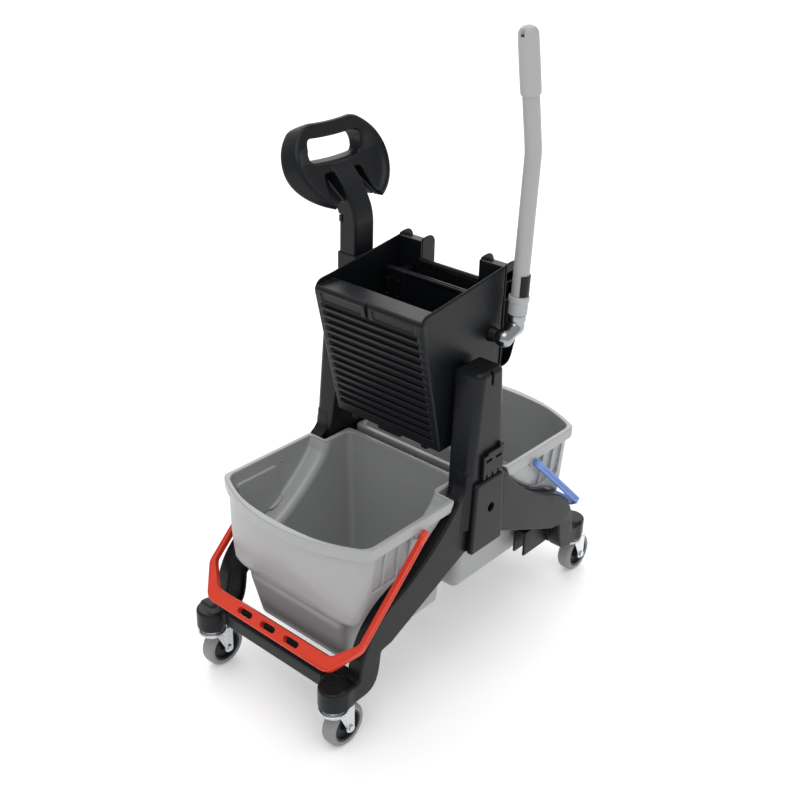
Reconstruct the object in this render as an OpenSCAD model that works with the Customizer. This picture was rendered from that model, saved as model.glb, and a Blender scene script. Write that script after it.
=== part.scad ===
// Double mop bucket trolley. A moulded chassis on four swivel castors carries two buckets
// with bails, and a lever wringer that hangs between two towers.
// Millimetres, +Z up, X along the trolley with the front bucket at -X, origin on the floor
// midway between the castors. Heights named *_h are above the undersides of the castor posts.

/* [Castors] */
// Diameter of a castor wheel
wheel_d = 80; // [70:1:100]
// Width of a tyre
tyre_w = 28; // [24:1:32]
// Radial thickness of a tyre
tyre_t = 11; // [8:1:14]
// Distance of the axle behind the swivel axis
castor_trail = 21.5; // [18:0.5:26]
// Thickness of the fork's top plate
fork_plate_t = 5.2; // [4:0.1:7]
// Thickness of a fork leg
fork_leg_t = 3; // [2:0.5:4]
// Thickness of the upper swivel race
race_t = 5; // [4:0.5:7]
// Diameter of the castor stem
stem_d = 12; // [10:1:14]
// Diameter of the wheel axle
axle_d = 8; // [6:1:10]

/* [Chassis] */
// Width over the outer faces of the side rails
chassis_w = 356; // [340:1:380]
// Thickness of a side rail
rail_t = 30; // [24:1:34]
// Distance between the front and rear castor posts
wheelbase = 690; // [660:1:740]
// Diameter of a castor post
post_d = 53; // [48:1:58]
// Height of a castor post
post_t = 41; // [36:1:46]
// Depth of a cross beam, front to back
beam_d = 22; // [16:1:26]
// Height of a cross beam
beam_t = 27; // [20:1:32]
// Height of the seat on which a tower stands
seat_h = 208; // [200:1:216]
// Depth of a rail under the middle of the tower's seat
arch_t = 48; // [40:1:56]
// Distance of a rail's shoulder from the castor post
shoulder_l = 124; // [110:1:135]
// Height of a rail's shoulder
shoulder_h = 161; // [150:1:170]
// Distance of a rail's leg from the castor post
leg_l = 87; // [78:1:96]
// Height at which a rail's leg starts
leg_t = 73; // [64:1:82]
// Length of the guide under a rear bucket
guide_l = 86; // [70:1:88]
// Width of that guide
guide_w = 26; // [20:1:30]
// Height of that guide
guide_t = 55; // [45:1:60]
// Height of the rail ears beside a tower
ear_h = 276; // [262:1:290]
// Width of a rail ear
ear_w = 14; // [10:1:18]
// Thickness of the centre spine between the buckets
spine_t = 8; // [5:1:10]

/* [Towers] */
// Width of a tower at its foot, along the trolley
tower_foot_w = 116; // [100:1:130]
// Width of a tower under its cap
tower_head_w = 66; // [56:1:80]
// Depth of a tower across the trolley
tower_d = 41; // [36:1:46]
// Height of a tower above its seat
tower_t = 290; // [270:1:310]
// How far a tower stands out past the rail
tower_proud = 4; // [2:0.5:6]
// How far a tower's inner face leans in towards the wringer
tower_nod = 15; // [0:1:18]
// Wall of the hollow tower
tower_wall = 4; // [3:0.5:6]
// Radius of the tower's outer upright edges
tower_edge_r = 16; // [8:1:20]
// Height of the bevelled cap
cap_t = 9; // [6:1:18]
// Width of the hanging slot
slot_w = 6; // [5:0.5:8]
// Depth of the hanging slot
slot_t = 24; // [18:1:32]
// Width of a lower cover
cover_w = 80; // [70:1:90]
// Height of a lower cover
cover_t = 140; // [120:1:150]
// How far a lower cover stands out past the tower
cover_proud = 9; // [5:0.5:12]
// Diameter of the accessory hole in a lower cover
accessory_d = 16.5; // [12:0.5:20]
// Width of a clip bracket
clip_w = 55; // [46:1:60]
// Height of a clip bracket
clip_t = 54; // [44:1:60]
// How far a clip bracket stands out past the tower
clip_proud = 7; // [5:0.5:9]

/* [Buckets] */
// Height of the bucket rim
rim_h = 279; // [270:1:290]
// Depth of the rim band
rim_t = 22; // [16:1:28]
// How far the rim band stands out past the wall
rim_proud = 5; // [3:0.5:7]
// Wall of a bucket
bucket_wall = 4; // [3:0.5:5]
// Depth of a bucket from rim to underside
bucket_depth = 271; // [250:1:276]
// How far the front of a bucket bulges past its corners
bucket_bulge = 50; // [30:1:60]
// Width of the bucket floor
floor_w = 218; // [180:1:226]
// Rake of the bucket's front wall, from rim to floor
front_rake = 56; // [40:1:70]
// Rake of the bucket's wide sides, from rim to floor
side_rake = 27; // [16:1:32]
// Rake of the bucket's back wall, from rim to floor
back_rake = 9; // [4:1:16]

/* [Bails] */
// Distance of the bail pivots from the middle of the trolley
bail_pivot_x = 160; // [145:1:175]
// Height of the bail pivots
bail_pivot_h = 254; // [240:1:260]
// Slope of a resting bail below the horizontal
bail_rest = 44; // [41:0.5:47]
// Width of a bail arm across the trolley
bail_arm_w = 8; // [6:0.5:10]
// Thickness of a bail
bail_t = 12; // [8:1:14]
// Width of the bail grip
bail_grip_w = 26; // [22:1:30]
// Width of the straight part of the bail grip
bail_grip_l = 290; // [260:1:300]
// Diameter of a bail pivot stud
bail_pin_d = 12; // [8:1:14]

/* [Wringer] */
// Height of the underside of the hopper
hopper_h = 342; // [335:1:360]
// Height of the hopper's front wall
hopper_t = 255; // [240:1:280]
// Wall of the hopper
hopper_wall = 4; // [3:0.5:6]
// Reach of the front wall before the middle of the trolley, at its foot
hopper_front = 55; // [50:1:62]
// How far the front wall leans out over its height
hopper_lean = 62; // [35:1:70]
// Width of the bevelled corners of the front wall
corner_w = 5; // [5:1:20]
// Number of ribs on the front wall
rib_count = 14; // [8:1:18]
// How far the ribs stand out
rib_proud = 5; // [3:0.5:7]
// Height of a rib
rib_t = 6; // [4:0.5:7]
// Height of the smooth lip above the ribs
lip_t = 40; // [30:1:50]
// Depth of the level ledge along the lip
ledge_l = 47; // [30:1:52]
// Height of the side walls above the ledge, at the front
wall_rise = 13; // [6:1:18]
// Distance of the rear wall behind the middle of the trolley
back_x = 100; // [96:1:108]
// Height of the rear wall's wings above the front lip
wing_rise = 39; // [30:1:50]
// Height of the rear wall's lower edge above the underside of the hopper
back_rise = 104; // [90:1:115]
// Width of the cut-out in the rear wall
cutout_w = 134; // [110:1:140]
// Reach of a gear cover behind the rear wall
gear_cover_l = 39; // [34:1:46]

/* [Press and lever] */
// Distance of the lever shaft behind the middle of the trolley
shaft_x = 74; // [72:0.5:76]
// Height of the lever shaft
shaft_h = 521; // [515:1:527]
// Diameter of the lever shaft
shaft_d = 16; // [12:1:18]
// Pitch radius of a drive sector
pitch_r = 45; // [43:0.5:46]
// Tooth pitch along the rack
tooth_pitch = 12.5; // [11:0.5:13]
// Width of a rack and of a drive sector
gear_w = 14; // [10:1:16]
// Thickness of the press plate
plate_t = 6; // [4:0.5:8]
// Distance of the press plate's front face behind the middle of the trolley
plate_x = 52; // [48:0.5:53]
// Diameter of the lever tube
tube_d = 28; // [24:0.5:31]
// Wall of the lever tube
tube_wall = 1.5; // [1:0.25:2.5]
// Length of the lever tube below its bend
tube_lower = 284; // [240:1:320]
// Length of the lever tube above its bend, up to the grip
tube_upper = 96; // [70:1:130]
// Angle of the bend in the lever tube
tube_bend = 13.5; // [8:0.5:20]
// Diameter of the lever grip
grip_d = 37; // [32:1:42]
// Length of the lever grip
grip_l = 108; // [90:1:130]

/* [Push handle] */
// Width of the handle post along the trolley
post_w = 46; // [40:1:50]
// Depth of the handle post across the trolley
post_l = 34; // [28:1:36]
// Height of the socket sleeve
sleeve_t = 122; // [100:1:140]
// Height of the bend above the tower
handle_rise = 185; // [165:1:210]
// Lean of the grip outwards
handle_lean = 28; // [15:1:35]
// Width of the half-moon grip
handle_w = 230; // [180:1:240]
// Height of the half-moon grip
handle_t = 154; // [135:1:180]
// Thickness of the half-moon grip
handle_d = 50; // [40:1:56]
// Width of the hand hole
hand_w = 132; // [100:1:140]
// Height of the hand hole
hand_t = 42; // [36:1:50]

/* [Hidden] */
$fn = 48;
SIDES = [["right", -1], ["left", 1]];
ENDS = [["front", -1], ["rear", 1]];
CORNERS = [for (e = ENDS) for (s = SIDES) [str(e[0], "_", s[0]), e[1], s[1]]];

// Clearances shared by the pieces
run_fit = 0.05;
fit = 0.3;
seat_gap = 0.4;
side_gap = 2;
eps = 1;

// Castor stack, floor upwards
wheel_r = wheel_d / 2;
fork_z = wheel_d + 1.5;
post_z = fork_z + fork_plate_t + fit + race_t;
hub_half = tyre_w / 2 + side_gap;
fork_half = hub_half + fit;

// Chassis places
rail_y = chassis_w / 2;
rail_in = rail_y - rail_t;
post_r = post_d / 2;
post_x = wheelbase / 2;
post_y = rail_y - post_r - 0.5;
beam_x = post_x - 5;
beam_y = post_y - 33;
beam_h = post_t - 1 - beam_t;
leg_h = 3;
rail_foot = [post_x - leg_l, leg_t];
belly_h = seat_h - arch_t;
guide_x = post_x - leg_l + 12 - guide_l;
guide_h = leg_t + 5 - guide_t;

// Tower places
tower_out = rail_y + tower_proud;
tower_in = tower_out - tower_d;
tower_h = seat_h + tower_t;
slot_x = -2;
cover_h = seat_h - 50;
accessory_x = 5;
accessory_h = seat_h + 30;
clip_x = -20;
clip_h = cover_h + cover_t + 2;
ear_x = tower_half(ear_h) + fit + ear_w;

// Bucket places, along the outward direction u from the middle of the trolley
neck_y = tower_in - 7;
wide_y = rail_y - 6;
rim_u0 = spine_t;
rim_u1 = post_x - 10;
step_u = ear_x + 3;
bulge_r = (wide_y * wide_y + bucket_bulge * bucket_bulge) / (2 * bucket_bulge);
floor_h = rim_h - bucket_depth;
core_u = rim_u1 - 41;
foot_u = core_u - front_rake / 2;
lift_a = 50;
lift_gap = 3;

// Bail places
bail_in = wide_y + side_gap;
pin_y = wide_y;
bail_reach = (post_x - bail_pivot_x) / cos(bail_rest);

// Wringer places
hopper_y = tower_in - 22;
lean_a = atan(hopper_lean / hopper_t);
front_l = hopper_t / cos(lean_a);
front_y = hopper_y - corner_w;
lip_h = hopper_h + hopper_t;
ledge_t = 6;
cutout_h = lip_h + 5;
back_h = hopper_h + back_rise;
back_t = hopper_wall;
back_in = hopper_y - hopper_wall;
side_x = back_x + back_t;

// Press and lever places
lever_y = hopper_y + 26;
lever_e = [34, 27];
tube_tilt = 2.2;
tooth_a = tooth_pitch / pitch_r * 180 / PI;
tooth_half = tooth_pitch * 0.22;
tooth_up = tooth_pitch * 0.27;
tooth_down = tooth_pitch * 0.32;
sector_teeth = 7;
rack_teeth = 7;
pressure_a = 20;
base_r = pitch_r * cos(pressure_a);
rack_y = 86;
rack_h = shaft_h + pitch_r;
rack_t = 18;
window_h = rack_h + rack_t + seat_gap;
wing_drop = 2;
wing_h = max(lip_h + wing_rise, window_h + wing_drop + hopper_wall);
foot_w = 40;
foot_t = 4;
screw_dy = 13;
screw_dz = 15;
screw_d = 5;
plate_back = plate_x + plate_t;
plate_y = hopper_y - 14;
plate_low = hopper_h + 8 + 0.5;
plate_top = rack_h + rack_t + 6.5;

// Push handle places
handle_x = 26;
handle_y = tower_in + post_l / 2 - 5;
sleeve_wall = 1.8;
moon_foot = 12;
bend_h = tower_h + handle_rise;
catch_w = 12;
catch_t = 18;
catch_d = 8;
catch_h = bend_h - 20;

// Half width of a tower at a height
function tower_half(h) = (tower_foot_w + (tower_head_w - tower_foot_w) * (h - seat_h) / tower_t) / 2;

// Points along a cubic curve
function curve(a, b, c, d, n = 14) = [
    for (i = [0:n])
        let (t = i / n)
        a * pow(1 - t, 3) + 3 * b * t * pow(1 - t, 2) + 3 * c * t * t * (1 - t) + d * pow(t, 3)
];

// Top edge of a side rail from the tower to the castor post: a hollow sweep, then a shoulder
shoulder = [post_x - shoulder_l, shoulder_h];
function rail_top() = concat(
    curve([ear_x, ear_h], [ear_x + 30, ear_h - 40], [shoulder.x - 60, shoulder.y + 23], shoulder),
    curve(
        shoulder,
        [shoulder.x + 45, shoulder.y - 17],
        [post_x - 41, post_t + 72],
        [post_x - 34, post_t + 2]
    )
);

// Leading lower corner of a rail, down to the foot of the castor post
function rail_leg() = curve(
    rail_foot,
    [rail_foot.x + 4, rail_foot.y - 48],
    [rail_foot.x + 10, leg_h],
    [rail_foot.x + 44, leg_h]
);

// Point of the hopper's front wall: n inwards from its face, s up along it
function front_point(n, s) = [
    -hopper_front + n * cos(lean_a) - s * sin(lean_a),
    hopper_h + n * sin(lean_a) + s * cos(lean_a)
];

// Involute of an angle, in degrees
function involute(a) = tan(a) * 180 / PI - a;

// Half angle of a sector tooth at a radius
function tooth_angle(r) =
    tooth_half / pitch_r * 180 / PI + involute(pressure_a) - involute(acos(min(1, base_r / r)));

// Outline of one sector tooth about an angle
function sector_tooth(a) =
    let (
        radii = [pitch_r - tooth_down, base_r, pitch_r, pitch_r + tooth_up],
        half = [for (r = radii) tooth_angle(max(r, base_r))]
    )
    concat(
        [for (i = [0:3]) radii[i] * [cos(a - half[i]), sin(a - half[i])]],
        [for (i = [3:-1:0]) radii[i] * [cos(a + half[i]), sin(a + half[i])]]
    );

// Places everything above the castors
module on_posts() {
    translate([0, 0, post_z])
        children();
}

// Mirrors a right-hand piece to the side wanted
module on_side(s) {
    mirror([0, s > 0 ? 1 : 0, 0])
        children();
}

// Mirrors a piece that points along +X to the end wanted
module on_end(e) {
    mirror([e < 0 ? 1 : 0, 0, 0])
        children();
}

// Solid from an outline in X and Z, between two places across the trolley
module across(y0, y1) {
    translate([0, y1, 0])
        rotate([90, 0, 0])
            linear_extrude(y1 - y0)
                children();
}

// Half of a side rail's outline, from the middle to a castor post
module rail_outline() {
    polygon(concat(
        [[-eps, belly_h + 2], [tower_foot_w / 2 - 11, belly_h], [rail_foot.x - 24, rail_foot.y + 3]],
        rail_leg(),
        [[post_x - 2, leg_h], [post_x - 2, post_t - 1], [post_x - 33, post_t - 1]],
        [for (i = [len(rail_top()) - 1:-1:0]) rail_top()[i]],
        [[tower_half(ear_h) + fit, ear_h], [tower_half(seat_h) + fit, seat_h], [-eps, seat_h]]
    ));
}

// One end of a right-hand side rail, with its castor post
module rail_end() {
    across(-rail_y, -rail_in)
        rail_outline();
    translate([post_x, -post_y, 0])
        cylinder(r = post_r, h = post_t);
    translate([beam_x - beam_d, -post_y, beam_h])
        cube([beam_d, post_y - beam_y, beam_t]);
}

module side_rail(s) {
    color("#2c2d2f")
        on_posts()
            on_side(s)
                difference() {
                    union() {
                        for (e = [-1, 1])
                            on_end(e)
                                rail_end();
                        translate([guide_x, -rail_in - eps, guide_h])
                            cube([guide_l, guide_w + eps, guide_t]);
                    }
                    for (e = [-1, 1])
                        translate([e * post_x, -post_y, -eps])
                            cylinder(d = stem_d + 2 * run_fit, h = 33 + eps);
                }
}

// Rear edge of a cross beam's shelf at a height, clear of a bucket that is lifted out
function shelf_x(h) = foot_u + (h - floor_h) / tan(lift_a) + lift_gap / sin(lift_a);

// Section of a cross beam with its sloping shelf, up to a front face
module beam_section(x1) {
    top = beam_h + beam_t;
    polygon([[shelf_x(beam_h), beam_h], [x1, beam_h], [x1, top], [shelf_x(top), top]]);
}

module cross_beam(e) {
    color("#26272a")
        on_posts()
            on_end(e) {
                across(-beam_y, beam_y)
                    beam_section(beam_x);
                across(-rail_in, rail_in)
                    beam_section(beam_x - beam_d - fit);
            }
}

module centre_spine() {
    low = belly_h + 4;
    mid = seat_h - 1;
    top = rim_h - rim_t - 4;
    head = neck_y - 2;
    color("#202124")
        on_posts()
            translate([-spine_t / 2, 0, 0])
                rotate([90, 0, 90])
                    linear_extrude(spine_t)
                        polygon([
                            [-rail_in, low],
                            [rail_in, low],
                            [rail_in, mid],
                            [head, mid],
                            [head, top],
                            [-head, top],
                            [-head, mid],
                            [-rail_in, mid]
                        ]);
}

// Inner face of a tower at a height
function tower_inner(h) = -tower_in + tower_nod * (h - seat_h) / tower_t;

// Cut that rounds an outer upright edge, which runs along Z at the origin
module edge_cut(r, l) {
    bite = r - 0.3;
    linear_extrude(l)
        difference() {
            translate([-bite, -eps])
                square([bite + r, bite + eps]);
            translate([-bite, bite])
                circle(r = r);
        }
}

// Tapered body of a tower with a bevelled cap and round outer edges, shrunk by an inset
module tower_block(inset, h0, h1) {
    bevel = 5;
    neck = h1 - cap_t;
    taper = atan((tower_foot_w - tower_head_w) / 2 / tower_t);
    edge = max(0.5, tower_edge_r - inset);
    y0 = -tower_out + inset;
    half = [tower_half(h0) - inset, tower_half(neck) - inset, tower_half(h1) - inset - bevel];
    difference() {
        intersection() {
            across(-tower_out - eps, 0)
                polygon([
                    [-half[0], h0],
                    [half[0], h0],
                    [half[1], neck],
                    [half[2], h1],
                    [-half[2], h1],
                    [-half[1], neck]
                ]);
            translate([-tower_foot_w, 0, 0])
                rotate([90, 0, 90])
                    linear_extrude(2 * tower_foot_w)
                        polygon([
                            [y0, h0],
                            [tower_inner(h0) - inset, h0],
                            [tower_inner(neck) - inset, neck],
                            [-tower_in - inset, h1],
                            [y0 + bevel, h1],
                            [y0, neck]
                        ]);
        }
        for (d = [-1, 1])
            on_end(d)
                translate([half[0], y0, h0])
                    rotate([0, -taper, 0])
                        translate([0, 0, -2 * edge])
                            edge_cut(edge, h1 - h0 + 4 * edge);
    }
}

module tower(s) {
    color("#2b2c2e")
        on_posts()
            on_side(s)
                difference() {
                    tower_block(0, seat_h, tower_h);
                    tower_block(tower_wall, seat_h - eps, tower_h - tower_wall);
                    translate([slot_x - slot_w / 2, -tower_out - eps, tower_h - slot_t])
                        cube([slot_w, tower_d + tower_nod + 2 * eps, slot_t + eps]);
                    across(-tower_out - eps, -tower_out + 2 * tower_wall)
                        translate([accessory_x, accessory_h])
                            circle(d = accessory_d + 4);
                }
}

module lower_cover(s) {
    y1 = -tower_out - cover_proud;
    color("#2e2f31")
        on_posts()
            on_side(s)
                difference() {
                    translate([-cover_w / 2, 0, 0])
                        rotate([90, 0, 90])
                            linear_extrude(cover_w)
                                polygon([
                                    [y1, cover_h],
                                    [-rail_y, cover_h],
                                    [-rail_y, seat_h],
                                    [-tower_out, seat_h],
                                    [-tower_out, cover_h + cover_t],
                                    [y1 + 2, cover_h + cover_t],
                                    [y1, cover_h + cover_t - 4]
                                ]);
                    across(y1 - eps, -rail_y + eps)
                        translate([accessory_x, accessory_h])
                            circle(d = accessory_d);
                }
}

module clip_bracket(s) {
    step = clip_w / 5;
    color("#2a2b2d")
        on_posts()
            on_side(s)
                across(-tower_out - clip_proud, -tower_out)
                    translate([clip_x, clip_h])
                        difference() {
                            polygon([
                                [0, 0],
                                [clip_w, 0],
                                [clip_w, clip_t],
                                [clip_w - step, clip_t],
                                [clip_w - step, clip_t - 5],
                                [step, clip_t - 5],
                                [step, clip_t - 9],
                                [0, clip_t - 9]
                            ]);
                            for (i = [0, 1])
                                translate([step * (0.5 + 2.4 * i), clip_t * 0.6])
                                    square([step * 1.5, 4]);
                            for (i = [0:2])
                                translate([step * (0.7 + 1.4 * i), -eps])
                                    square([4, 8 + eps]);
                        }
}

// Castor stems with their upper races
module castor_stems() {
    color("#c8cbce")
        for (c = CORNERS)
            translate([c[1] * post_x, c[2] * post_y, 0]) {
                translate([0, 0, fork_z - 2.3])
                    cylinder(d = stem_d + 4, h = 2);
                translate([0, 0, fork_z - 1])
                    cylinder(d = stem_d, h = post_z - fork_z + 32);
                translate([0, 0, post_z - race_t])
                    cylinder(r = post_r - 6, h = race_t);
            }
}

module at_castor(c) {
    translate([c[1] * post_x, c[2] * post_y, 0])
        children();
}

// A ring about the wheel's axle
module at_axle(c) {
    at_castor(c)
        translate([castor_trail, 0, wheel_r])
            rotate([90, 0, 0])
                children();
}

module castor_fork(c) {
    leg_out = fork_half + fork_leg_t;
    eye_r = axle_d / 2 + 5.5;
    reach = castor_trail + eye_r;
    color("#c4c8cc")
        at_castor(c)
            difference() {
                union() {
                    translate([0, 0, fork_z])
                        cylinder(r = post_r - 4, h = fork_plate_t);
                    translate([0, -leg_out, fork_z])
                        cube([reach, 2 * leg_out, fork_plate_t - 2]);
                    for (d = [-1, 1])
                        across(d > 0 ? fork_half : -leg_out, d > 0 ? leg_out : -fork_half) {
                            polygon([
                                [-6, fork_z + fork_plate_t - 2],
                                [reach, fork_z + fork_plate_t - 2],
                                [reach, wheel_r],
                                [castor_trail - eye_r, wheel_r]
                            ]);
                            translate([castor_trail, wheel_r])
                                circle(r = eye_r);
                        }
                }
                translate([0, 0, fork_z - eps])
                    cylinder(d = stem_d + 2 * run_fit, h = fork_plate_t + 2 * eps);
                across(-leg_out - eps, leg_out + eps)
                    translate([castor_trail, wheel_r])
                        circle(d = axle_d + 0.06);
            }
}

module castor_axle(c) {
    half = fork_half + fork_leg_t;
    color("#d0d2d4")
        at_axle(c) {
            translate([0, 0, -half - 2])
                cylinder(d = axle_d, h = 2 * half + 4);
            translate([0, 0, half])
                cylinder(d = axle_d + 5, h = 3.5, $fn = 6);
            translate([0, 0, -half - 3.5])
                cylinder(d = axle_d + 5, h = 3.5);
        }
}

module wheel_hub(c) {
    bore = axle_d / 2 + run_fit;
    rim = wheel_r - tyre_t - 0.1;
    rim_half = tyre_w / 2 - 2;
    color("#1d1e20")
        at_axle(c)
            rotate_extrude()
                polygon([
                    [bore, -hub_half],
                    [bore + 5, -hub_half],
                    [bore + 7, -5],
                    [rim - 6, -5],
                    [rim - 4, -rim_half],
                    [rim, -rim_half],
                    [rim, rim_half],
                    [rim - 4, rim_half],
                    [rim - 6, 5],
                    [bore + 7, 5],
                    [bore + 5, hub_half],
                    [bore, hub_half]
                ]);
}

module tyre(c) {
    half = tyre_w / 2;
    shoulder_r = 6;
    color("#8e8f90")
        at_axle(c)
            rotate_extrude($fn = 72)
                polygon(concat(
                    [[wheel_r - tyre_t, -half]],
                    [for (i = [0:6]) [wheel_r - shoulder_r, -half + shoulder_r]
                        + shoulder_r * [sin(i * 15), -cos(i * 15)]],
                    [for (i = [6:-1:0]) [wheel_r - shoulder_r, half - shoulder_r]
                        + shoulder_r * [sin(i * 15), cos(i * 15)]],
                    [[wheel_r - tyre_t, half]]
                ));
}

// Plan of a bucket, grown by an outward offset
module bucket_plan(o) {
    y = wide_y - rim_proud + o;
    n = neck_y - rim_proud + o;
    u0 = rim_u0 + rim_proud - o;
    s0 = step_u + rim_proud - o;
    r = bulge_r - rim_proud + o;
    intersection() {
        union() {
            translate([u0, -n])
                square([s0 - u0 + eps, 2 * n]);
            translate([s0, -y])
                square([rim_u1 - s0 + o, 2 * y]);
        }
        translate([rim_u1 - bulge_r, 0])
            circle(r = r, $fn = 96);
    }
}

// Space above the rails, lifted by a gap, up to a height and a raked front
module above_rails(gap, top, front) {
    nose = post_t + 70;
    rake = front_rake / bucket_depth;
    across(-rail_y - 10, rail_y + 10)
        polygon(concat(
            [for (p = rail_top()) if (p.y > nose + 4) p + [0, gap]],
            [[front - rake * (rim_h - nose), nose + gap]],
            [[front + rake * (top - rim_h), top], [-eps, top], [-eps, ear_h + gap]]
        ));
}

// Room between the bucket's raked sides, shrunk by an inset
module between_sides(inset) {
    y0 = wide_y - rim_proud - side_rake - inset;
    y1 = wide_y - rim_proud - inset;
    over = 20;
    more = side_rake * over / bucket_depth;
    rotate([90, 0, 90])
        linear_extrude(rim_u1)
            polygon([
                [-y0, floor_h],
                [y0, floor_h],
                [y1 + more, rim_h + over],
                [-y1 - more, rim_h + over]
            ]);
}

// Narrow body between the rails, shrunk by an inset
module bucket_core(inset, top) {
    low = floor_h + inset;
    u0 = rim_u0 + rim_proud + 1 + inset;
    u1 = core_u - inset;
    half = neck_y - rim_proud - 1 - inset;
    base = floor_w / 2 - inset;
    intersection() {
        across(-wide_y, wide_y)
            polygon([
                [u0 + back_rake, low],
                [u1 - front_rake / 2, low],
                [u1 - 6, post_t + 57],
                [u1, top],
                [u0, top]
            ]);
        rotate([90, 0, 90])
            linear_extrude(rim_u1)
                polygon([[-base, low], [base, low], [half, top], [-half, top]]);
    }
}

module bucket_outer() {
    bucket_core(0, rim_h - 4);
    intersection() {
        translate([0, 0, floor_h])
            linear_extrude(bucket_depth - 4)
                bucket_plan(1);
        above_rails(seat_gap, rim_h, rim_u1 - rim_proud);
        between_sides(0);
    }
    intersection() {
        translate([0, 0, rim_h - rim_t])
            linear_extrude(rim_t)
                bucket_plan(rim_proud);
        union() {
            above_rails(seat_gap, rim_h + eps, rim_u1 + 20);
            translate([0, -neck_y, 0])
                cube([step_u + 10, 2 * neck_y, rim_h + eps]);
        }
    }
}

module bucket_inner() {
    bucket_core(bucket_wall, rim_h + eps);
    intersection() {
        translate([0, 0, floor_h])
            linear_extrude(bucket_depth + eps)
                bucket_plan(-bucket_wall + 1);
        above_rails(seat_gap + bucket_wall, rim_h + 2 * eps, rim_u1 - rim_proud - bucket_wall);
        between_sides(bucket_wall);
    }
}

module bucket(e) {
    color("#a2a3a4")
        on_posts()
            on_end(e)
                difference() {
                    union() {
                        bucket_outer();
                        for (s = SIDES)
                            on_side(s[1])
                                translate([bail_pivot_x, -pin_y, bail_pivot_h])
                                    rotate([-90, 0, 0])
                                        cylinder(d = bail_pin_d + 10, h = rim_proud + 5);
                    }
                    bucket_inner();
                }
}

// Studs on the bucket's sides that carry the bail
module bail_pins(e) {
    color("#8f9092")
        on_posts()
            on_end(e)
                for (s = SIDES)
                    on_side(s[1])
                        translate([bail_pivot_x, 0, bail_pivot_h])
                            rotate([90, 0, 0]) {
                                translate([0, 0, pin_y])
                                    cylinder(d = bail_pin_d + 6, h = bail_in - pin_y - fit);
                                translate([0, 0, pin_y])
                                    cylinder(d = bail_pin_d, h = bail_in + bail_arm_w + 1 - pin_y);
                                translate([0, 0, bail_in + bail_arm_w + fit])
                                    cylinder(d = bail_pin_d + 4, h = 2);
                            }
}

// Outline of a bail laid flat: pivot eyes at the origin line, the grip at its reach
module bail_outline() {
    y0 = bail_in;
    y1 = bail_in + bail_arm_w;
    g0 = bail_reach - bail_grip_w / 2;
    g1 = bail_reach + bail_grip_w / 2;
    c0 = bail_reach - 52;
    half = bail_grip_l / 2;
    difference() {
        for (d = [-1, 1])
            scale([1, d])
                polygon([
                    [0, y0],
                    [c0, y0],
                    [g0, half - 8],
                    [g0, -eps],
                    [g1, -eps],
                    [g1, half],
                    [c0 + 8, y1],
                    [0, y1]
                ]);
        for (i = [-1:1])
            translate([bail_reach, i * 56]) {
                square([11, 24], center = true);
                for (d = [-1, 1])
                    translate([0, d * 12])
                        circle(d = 11);
            }
    }
}

module bail(e) {
    color(e < 0 ? "#d63d20" : "#5f82c4")
        on_posts()
            on_end(e)
                translate([bail_pivot_x, 0, bail_pivot_h])
                    rotate([0, bail_rest, 0])
                        difference() {
                            union() {
                                translate([0, 0, -bail_t / 2])
                                    linear_extrude(bail_t)
                                        bail_outline();
                                for (d = [-1, 1])
                                    across(d > 0 ? bail_in : -bail_in - bail_arm_w,
                                        d > 0 ? bail_in + bail_arm_w : -bail_in)
                                        circle(d = bail_pin_d + 6);
                            }
                            across(-rail_y - 40, rail_y + 40)
                                circle(d = bail_pin_d + 2 * run_fit);
                        }
}

// Places a piece on the leaning front wall of the hopper
module on_front() {
    translate([-hopper_front, 0, hopper_h])
        rotate([0, -lean_a, 0])
            children();
}

// Section of the front wall with its bevelled corners
module front_section() {
    d = rib_proud;
    w = hopper_wall;
    k = 0.414 * w;
    half = [
        [d, 0],
        [d, front_y],
        [d + corner_w, hopper_y],
        [d + corner_w + w, hopper_y],
        [d + corner_w + w, back_in],
        [d + corner_w + k, back_in],
        [d + w, front_y - k],
        [d + w, 0]
    ];
    polygon(concat(half, [for (i = [len(half) - 1:-1:0]) [half[i].x, -half[i].y]]));
}

// Section of a rib that runs round the bevelled corners
module rib_section(run) {
    half = [
        [0, 0],
        [0, front_y],
        [run, front_y + run],
        [run + rib_proud + 1, front_y + run],
        [rib_proud + 1, front_y],
        [rib_proud + 1, 0]
    ];
    polygon(concat(half, [for (i = [len(half) - 1:-1:0]) [half[i].x, -half[i].y]]));
}

module hopper_front_wall() {
    rib_low = 24;
    rib_gap = (front_l - lip_t - 12 - rib_low) / (rib_count - 1);
    ledge_y = hopper_y - hopper_wall / 2;
    difference() {
        union() {
            on_front() {
                linear_extrude(front_l)
                    front_section();
                for (i = [0:rib_count - 1])
                    translate([0, 0, rib_low + i * rib_gap - rib_t / 2])
                        linear_extrude(rib_t)
                            rib_section(corner_w * 0.8);
                translate([0, 0, front_l - lip_t])
                    linear_extrude(lip_t)
                        rib_section(corner_w);
                linear_extrude(12)
                    rib_section(corner_w);
            }
            translate([front_point(rib_proud + 1, front_l).x, -ledge_y, lip_h - ledge_t])
                cube([ledge_l, 2 * ledge_y, ledge_t]);
        }
        on_front() {
            for (d = [-1, 1])
                translate([-eps, d * front_y / 2 - front_y * 0.4, front_l - lip_t + 7])
                    cube([eps + 2, front_y * 0.8, lip_t - 18]);
            translate([-eps, -4, front_l - lip_t + 3])
                cube([eps + rib_proud, 8, lip_t - 12]);
        }
    }
}

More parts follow.
